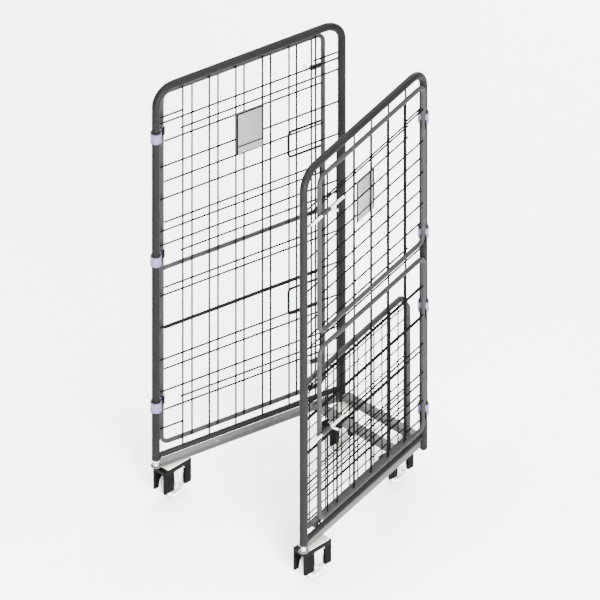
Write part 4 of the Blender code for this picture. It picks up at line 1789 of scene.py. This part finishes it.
@dataclass
class Castor:
    """A castor in its own frame, whose origin is on the floor under the axle."""

    side: Side
    plate_half: tuple[float, float]  # across and along the cage
    leg_faces: tuple[float, float]  # front and rear edges of a fork leg's top
    guard_faces: tuple[float, float]  # front and rear
    fork_inner: float = 0.0205
    fork_wall: float = 0.004
    plate_low: float = 0.1347
    plate_top: float = 0.140
    axle_radius: float = 0.006
    hub_radius: float = 0.040
    tyre_half: float = 0.018
    leg_end: float = 0.015
    guard_outer: float = 0.030
    guard_low: float = 0.045
    guard_window: float = 0.026
    guard_tie: float = 0.014
    guard_well: float = 0.040  # half the length of the well round the fork
    guard_corner: float = 0.0045
    rib_first: float = 0.0105  # from a guard's face
    rib_pitch: float = 0.0068
    rib_half: float = 0.0011
    bolt_head: float = 0.0040  # how far the axle bolt's head stands out

    def wheel(self, word: str, place: Matrix, tyre: Finish) -> None:
        """Builds the wheel: a ribbed hub and the tyre round it.

        Args:
            word: Which castor this is.
            place: The castor's frame.
            tyre: The tyre's finish.
        """
        across = Matrix.Translation((0.0, 0.0, WHEEL_RADIUS)) @ Matrix.Rotation(pi / 2, 4, "Y")
        body = f"{word}_wheel"
        side = (
            (WHEEL_RADIUS, 0.0016),
            (WHEEL_RADIUS - 0.0008, 0.0021),
            (WHEEL_RADIUS - 0.0008, 0.0029),
            (WHEEL_RADIUS, 0.0034),
            (WHEEL_RADIUS, 0.0117),
            (WHEEL_RADIUS - 0.0007, 0.0145),
            (WHEEL_RADIUS - 0.0026, 0.0168),
            (WHEEL_RADIUS - 0.0060, 0.0179),
            (0.0430, self.tyre_half),
            (self.hub_radius + 0.0004, 0.0173),
        )
        tyre_piece = turning(f"{word}_tread", mirrored(side), 72)
        publish(tyre_piece, body, tyre, [f"{word}_wheel_tyre"], place @ across)
        side = (
            (self.hub_radius + 0.0003, 0.0153),
            (self.hub_radius - 0.0006, 0.0160),
            (self.hub_radius - 0.0024, 0.0160),
            (self.hub_radius - 0.0034, 0.0152),
            (self.hub_radius - 0.0050, 0.0060),
            (0.0192, 0.0050),
            (0.0176, 0.0062),
            (0.0168, 0.0171),
            (0.0160, 0.0179),
            (0.0122, 0.0179),
            (0.0116, 0.0171),
            (0.0068, 0.0169),
        )
        hub = turning(f"{word}_hub", mirrored(side), 60)
        rib = block(hub.name, (0.0170, -0.0012, -0.0112), (0.0362, 0.0012, 0.0112), 0.0006)
        ribs = [rib]
        for number in range(1, 8):
            ribs.append(turned_copy(rib, hub.name, Matrix.Rotation(number * pi / 4, 4, "Z")))
        publish([hub, *ribs], body, Finish.HUB, [f"{word}_wheel_hub"], place @ across)

    def axle(self, word: str, body: str, place: Matrix) -> None:
        """Builds the axle bolt, with a washer under its head and its lock nut.

        Args:
            word: Which castor this is.
            body: The CAD body that carries the bolt.
            place: The castor's frame.
        """
        name = f"{word}_axle_bolt"
        face, z = self.fork_inner + self.fork_wall, WHEEL_RADIUS
        end = face + self.bolt_head
        parts = [bar(name, (-end, 0, z), (end, 0, z), self.axle_radius, 20, 0.0010)]
        for way in (-1, 1):
            washer = (way * (face + 0.0001), 0, z), (way * (face + 0.0010), 0, z)
            head = (way * (face + 0.0009), 0, z), (way * end, 0, z)
            parts.append(bar(name, *washer, 0.0105, 28, 0.0003))
            parts.append(bar(name, *head, 0.0092, 6, 0.0007))
        publish(parts, body, Finish.ZINC, [f"{word}_axle"], place)

    def leg(self, name: str, way: int, top: float) -> bpy.types.Object:
        """A fork leg: a disc whose upper half is drawn up and widened, then given its wall.

        Args:
            name: The piece's name.
            way: -1 for the leg at -X, 1 for the leg at +X.
            top: The height that it reaches.

        Returns:
            The leg.
        """
        inner = way * self.fork_inner
        front, rear = self.leg_faces
        bpy.ops.mesh.primitive_circle_add(
            vertices=32,
            radius=self.leg_end,
            fill_type="NGON",
            location=(inner, 0.0, WHEEL_RADIUS),
            rotation=(0.0, pi / 2, 0.0),
        )
        leg = settle(name)
        with editing(leg):
            pick_points(leg, lambda point: point.z > WHEEL_RADIUS + 0.0001)
            middle = (front + rear) / 2
            ratio = (rear - front) / (2 * self.leg_end)
            bpy.ops.transform.resize(
                value=(1.0, ratio, 0.0), center_override=(0.0, 0.0, WHEEL_RADIUS)
            )
            shift = (0.0, middle, top - WHEEL_RADIUS)
            bpy.ops.transform.translate(value=shift)
            bpy.ops.mesh.select_all(action="SELECT")
            step = (way * self.fork_wall, 0.0, 0.0)
            bpy.ops.mesh.extrude_region_move(TRANSFORM_OT_translate={"value": step})
            bpy.ops.mesh.select_all(action="SELECT")
            bpy.ops.mesh.normals_make_consistent(inside=False)
            pick_faces(leg, lambda centre, normal: normal.x * way > 0.9)
            bpy.ops.mesh.inset(thickness=0.0042)
            bpy.ops.mesh.inset(thickness=0.0012, depth=-0.0009)
        return soften(leg, 0.0006)

    def guard(self, word: str, top: float) -> list[bpy.types.Object]:
        """The dark housing round the wheel: windows over the fork's legs, and ribbed corners.

        Args:
            word: Which castor this is.
            top: Its top face.

        Returns:
            Its parts.
        """
        name = f"{word}_wheel_guard"
        outer = self.guard_outer
        front, rear = self.guard_faces
        body = block(name, (-outer, front, self.guard_low), (outer, rear, top), 0)
        with editing(body):
            pick_uprights(body)
            bpy.ops.mesh.bevel(offset=self.guard_corner, segments=5, affect="EDGES")
        inner = self.fork_inner - 0.0005
        channel = self.fork_inner + self.fork_wall + 0.0005
        below = top - self.guard_tie
        window, well, past = self.guard_window, self.guard_well, 0.02
        cutters = (
            ((-inner, front - past, 0.0), (inner, rear + past, below), 0.004),
            ((-inner, -well, 0.0), (inner, well, top + past), 0.0),
            ((-2 * outer, -window, 0.0), (2 * outer, window, below), 0.007),
            ((-channel, -well, below - self.guard_tie), (channel, well, top + past), 0.0),
        )
        for low, high, edge in cutters:
            cutter = block("guard_cutter", low, high, edge, 4)
            modify(body, "BOOLEAN", operation="DIFFERENCE", object=cutter, solver="EXACT")
            remove(cutter)
        soften(body, 0.0005, 1)
        return [body, *self.ribs(name, top)]

    def ribs(self, name: str, top: float) -> list[bpy.types.Object]:
        """Upright ribs on the guard's side walls, either side of each window.

        Args:
            name: The guard's name.
            top: The guard's top face.

        Returns:
            The ribs.
        """
        margin = 0.004
        low, high = self.guard_low + margin, top - self.guard_tie - margin
        window = self.guard_window + 0.003
        places = []
        for face, way in zip(self.guard_faces, (1, -1)):
            y = face + way * self.rib_first
            while way * y < -window:
                places.append(y)
                y += way * self.rib_pitch
        parts = []
        for y in places:
            for way in (-1, 1):
                wall = way * self.guard_outer
                corner = (wall - way * 0.0005, y - self.rib_half, low)
                opposite = (wall + way * 0.0010, y + self.rib_half, high)
                parts.append(block(name, corner, opposite, 0.0004))
        return parts

    def plate(self, name: str) -> bpy.types.Object:
        """A castor's top plate, with rounded corners.

        Args:
            name: The plate's name.

        Returns:
            The plate.
        """
        half_x, half_y = self.plate_half
        low, high = (-half_x, -half_y, self.plate_low), (half_x, half_y, self.plate_top)
        plate = block(name, low, high, 0)
        with editing(plate):
            pick_uprights(plate)
            bpy.ops.mesh.bevel(offset=0.008, segments=6, affect="EDGES")
        return soften(plate, 0.0006)


@dataclass
class FixedCastor(Castor):
    """A front castor, whose fork is welded to its plate."""

    plate_half: tuple[float, float] = (0.026, 0.052)
    leg_faces: tuple[float, float] = (-0.024, 0.024)
    guard_faces: tuple[float, float] = (-0.070, 0.057)
    x: float = 0.333
    y: float = FRONT_AXLE_Y

    def build(self) -> None:
        """Builds every piece of the castor."""
        word = f"front_{self.side.word}"
        x = self.side.value * self.x - BOX_CENTRE_X
        place = Matrix.Translation((x, self.y, 0.0))
        name = f"{word}_fork"
        parts = [self.plate(name)]
        parts += [self.leg(name, way, self.plate_low + 0.001) for way in (-1, 1)]
        publish(parts, "base", Finish.ZINC, [f"{word}_castor_fork"], place)
        guard = self.guard(word, self.plate_low - 0.0003)
        publish(guard, "base", Finish.GUARD, [f"{word}_castor_guard"], place)
        self.axle(word, "base", place)
        self.wheel(word, place, Finish.FRONT_TYRE)


@dataclass
class SwivelCastor(Castor):
    """A rear castor, whose fork turns under its plate on a ball race."""

    plate_half: tuple[float, float] = (0.036, 0.050)
    leg_faces: tuple[float, float] = (-0.018, 0.024)
    guard_faces: tuple[float, float] = (-0.060, 0.054)
    x: float = 0.139
    trail: float = 0.028
    crown_low: float = 0.114
    crown_high: float = 0.120
    crown_faces: tuple[float, float] = (-0.020, 0.050)
    guard_top: float = 0.112
    stud_radius: float = 0.006
    rivet_radius: float = 0.010
    rivet_height: float = 0.003

    def build(self) -> None:
        """Builds every piece of the castor."""
        word = f"rear_{self.side.word}"
        x = self.side.value * self.x - BOX_CENTRE_X
        pivot = Matrix.Translation((x, REAR_AXLE_Y + self.trail, 0.0))
        place = Matrix.Translation((x, REAR_AXLE_Y, 0.0))
        plate = [self.plate(f"{word}_top_plate"), self.race(word)]
        publish(plate, "base", Finish.ZINC, [f"{word}_castor_plate"], pivot)
        body = f"{word}_swivel"
        publish(self.fork(word), body, Finish.ZINC, [f"{word}_castor_fork"], place)
        guard = self.guard(word, self.guard_top)
        publish(guard, body, Finish.GUARD, [f"{word}_castor_guard"], place)
        self.axle(word, body, place)
        self.wheel(word, place, Finish.REAR_TYRE)

    def race(self, word: str) -> bpy.types.Object:
        """The pressed cup of the ball race under the plate.

        Args:
            word: Which castor this is.

        Returns:
            The cup, in the plate's frame.
        """
        low, top = self.crown_high + LOOSE, self.plate_low + 0.0008
        hole = self.stud_radius + LOOSE
        profile = (
            (hole, low),
            (0.0235, low),
            (0.0250, low + 0.0006),
            (0.0260, low + 0.0024),
            (0.0258, low + 0.0050),
            (0.0245, low + 0.0072),
            (0.0232, low + 0.0085),
            (0.0232, low + 0.0100),
            (0.0255, top),
            (hole, top),
        )
        return turning(f"{word}_race", profile, 48)

    def fork(self, word: str) -> list[bpy.types.Object]:
        """The fork: its crown, two legs, and the rivet that it turns on.

        Args:
            word: Which castor this is.

        Returns:
            The fork's parts.
        """
        name = f"{word}_fork"
        half = self.fork_inner + self.fork_wall
        front, rear = self.crown_faces
        parts = [
            block(name, (-half, front, self.crown_low), (half, rear, self.crown_high), 0.0012, 3)
        ]
        parts += [self.leg(name, way, self.crown_high - 0.001) for way in (-1, 1)]
        foot = (0.0, self.trail, self.crown_low - self.rivet_height)
        stud_top, rivet_top = (0.0, self.trail, self.plate_low), (0.0, self.trail, self.crown_low)
        parts.append(bar(name, foot, stud_top, self.stud_radius, 24))
        parts.append(bar(name, foot, rivet_top, self.rivet_radius, 28, 0.0010))
        return parts


def mirrored(side: Sequence[tuple[float, float]]) -> tuple[tuple[float, float], ...]:
    """A closed profile from the half of it at positive heights."""
    return (*side, *((radius, -height) for radius, height in reversed(side)))


@dataclass
class Studio:
    """A pale floor, soft lights, and the camera for the isometric view."""

    view_scale: float = 2.016
    aim: tuple[float, float, float] = (-0.298, 0.258, 0.545)
    lit: tuple[float, float, float] = (0.0, 0.0, 0.85)  # what each light is turned to
    surround: float = 0.3
    distance: float = 6.0
    azimuth: float = 45.0  # degrees from -Y towards +X
    elevation: float = 35.264

    def build(self) -> None:
        """Builds the floor, the lights, the backdrop colour and the camera."""
        self.floor()
        self.world()
        for name, place, size, power in (
            ("top_light", (-0.6, 0.6, 7.0), 10.0, 3600.0),
            ("key_light", (4.4, -2.6, 2.1), 1.6, 2300.0),
            ("fill_light", (-4.0, -2.4, 2.4), 3.0, 200.0),
            ("back_light", (-2.2, 4.2, 2.6), 3.0, 420.0),
        ):
            self.light(name, place, size, power)
        self.camera()

    def floor(self) -> None:
        """A plain pale floor."""
        bpy.ops.mesh.primitive_plane_add(size=40.0, location=(0.0, 0.0, -0.0005))
        floor = settle("studio_floor")
        floor.data.materials.append(Finish.FLOOR.made)

    def world(self) -> None:
        """An even pale surround."""
        world = bpy.data.worlds.new("studio_surround")
        world.use_nodes = True
        background = world.node_tree.nodes["Background"]
        background.inputs["Color"].default_value = (1.0, 1.0, 1.0, 1.0)
        background.inputs["Strength"].default_value = self.surround
        bpy.context.scene.world = world

    def light(self, name: str, place: Sequence[float], size: float, power: float) -> None:
        """A soft square light turned to the cage's middle.

        Args:
            name: Its name.
            place: Where it stands.
            size: Its edge length.
            power: Its power in watts.
        """
        aim = (Vector(self.lit) - Vector(place)).to_track_quat("-Z", "Y").to_euler()
        bpy.ops.object.light_add(type="AREA", location=place, rotation=aim)
        light = bpy.context.object
        light.name = name
        light.data.size = size
        light.data.energy = power

    def camera(self) -> None:
        """The isometric camera."""
        azimuth, elevation = radians(self.azimuth), radians(self.elevation)
        toward = Vector(
            (
                sin(azimuth) * cos(elevation),
                -cos(azimuth) * cos(elevation),
                sin(elevation),
            )
        )
        place = Vector(self.aim) + toward * self.distance
        turn = (-toward).to_track_quat("-Z", "Y").to_euler()
        bpy.ops.object.camera_add(location=place, rotation=turn)
        camera = bpy.context.object
        camera.name = "isometric_camera"
        camera.data.type = "ORTHO"
        camera.data.ortho_scale = self.view_scale
        camera.data.clip_end = 30.0
        bpy.context.scene.camera = camera


FULL_GATE = Gate(
    name="full_gate",
    side=Side.LEFT,
    low=0.205,
    high=1.645,
    mid=0.923,
    rows=(1.449, 1.282, 1.115, 0.847, 0.679, 0.512, 0.345),
    clips={"top": 1.493, "mid": 0.987, "bottom": 0.387},
    bolts={"bolt_upper": 1.509, "bolt_lower": 0.300},
    bolt_ends=(0.617, 0.752),
    handles={"upper": 1.227, "lower": 0.581},
)
UPPER_GATE = Gate(
    name="upper_gate",
    side=Side.RIGHT,
    low=1.010,
    high=1.650,
    rows=(1.171, 1.299, 1.427, 1.555),
    clips={"top": 1.488, "bottom": 1.016},
    bolts={"bolt": 1.504},
    bolt_ends=(0.554, 0.754),
)
LOWER_GATE = Gate(
    name="lower_gate",
    side=Side.RIGHT,
    low=0.240,
    high=0.945,
    rows=(0.3575, 0.4750, 0.5925, 0.7100, 0.8275),
    clips={"top": 0.712, "bottom": 0.290},
    bolts={"bolt": 0.603},
    bolt_ends=(0.554, 0.754),
)


def main() -> None:
    """Builds the cage's looks in order."""
    logging.basicConfig(level=logging.INFO, format="%(name)s: %(message)s")
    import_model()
    deselect()
    Studio().build()
    Base().build()
    for side in Side:
        FixedCastor(side).build()
        SwivelCastor(side).build()
    right_clips = (*UPPER_GATE.clips.values(), *LOWER_GATE.clips.values())
    SidePanel(Side.LEFT, 0.0, tuple(FULL_GATE.clips.values()), -1).build()
    SidePanel(Side.RIGHT, SIDE_DEPTH, right_clips, 1).build()
    for gate in (FULL_GATE, UPPER_GATE, LOWER_GATE):
        gate.build()
    Deck().build()


if __name__ == "__main__":
    main()
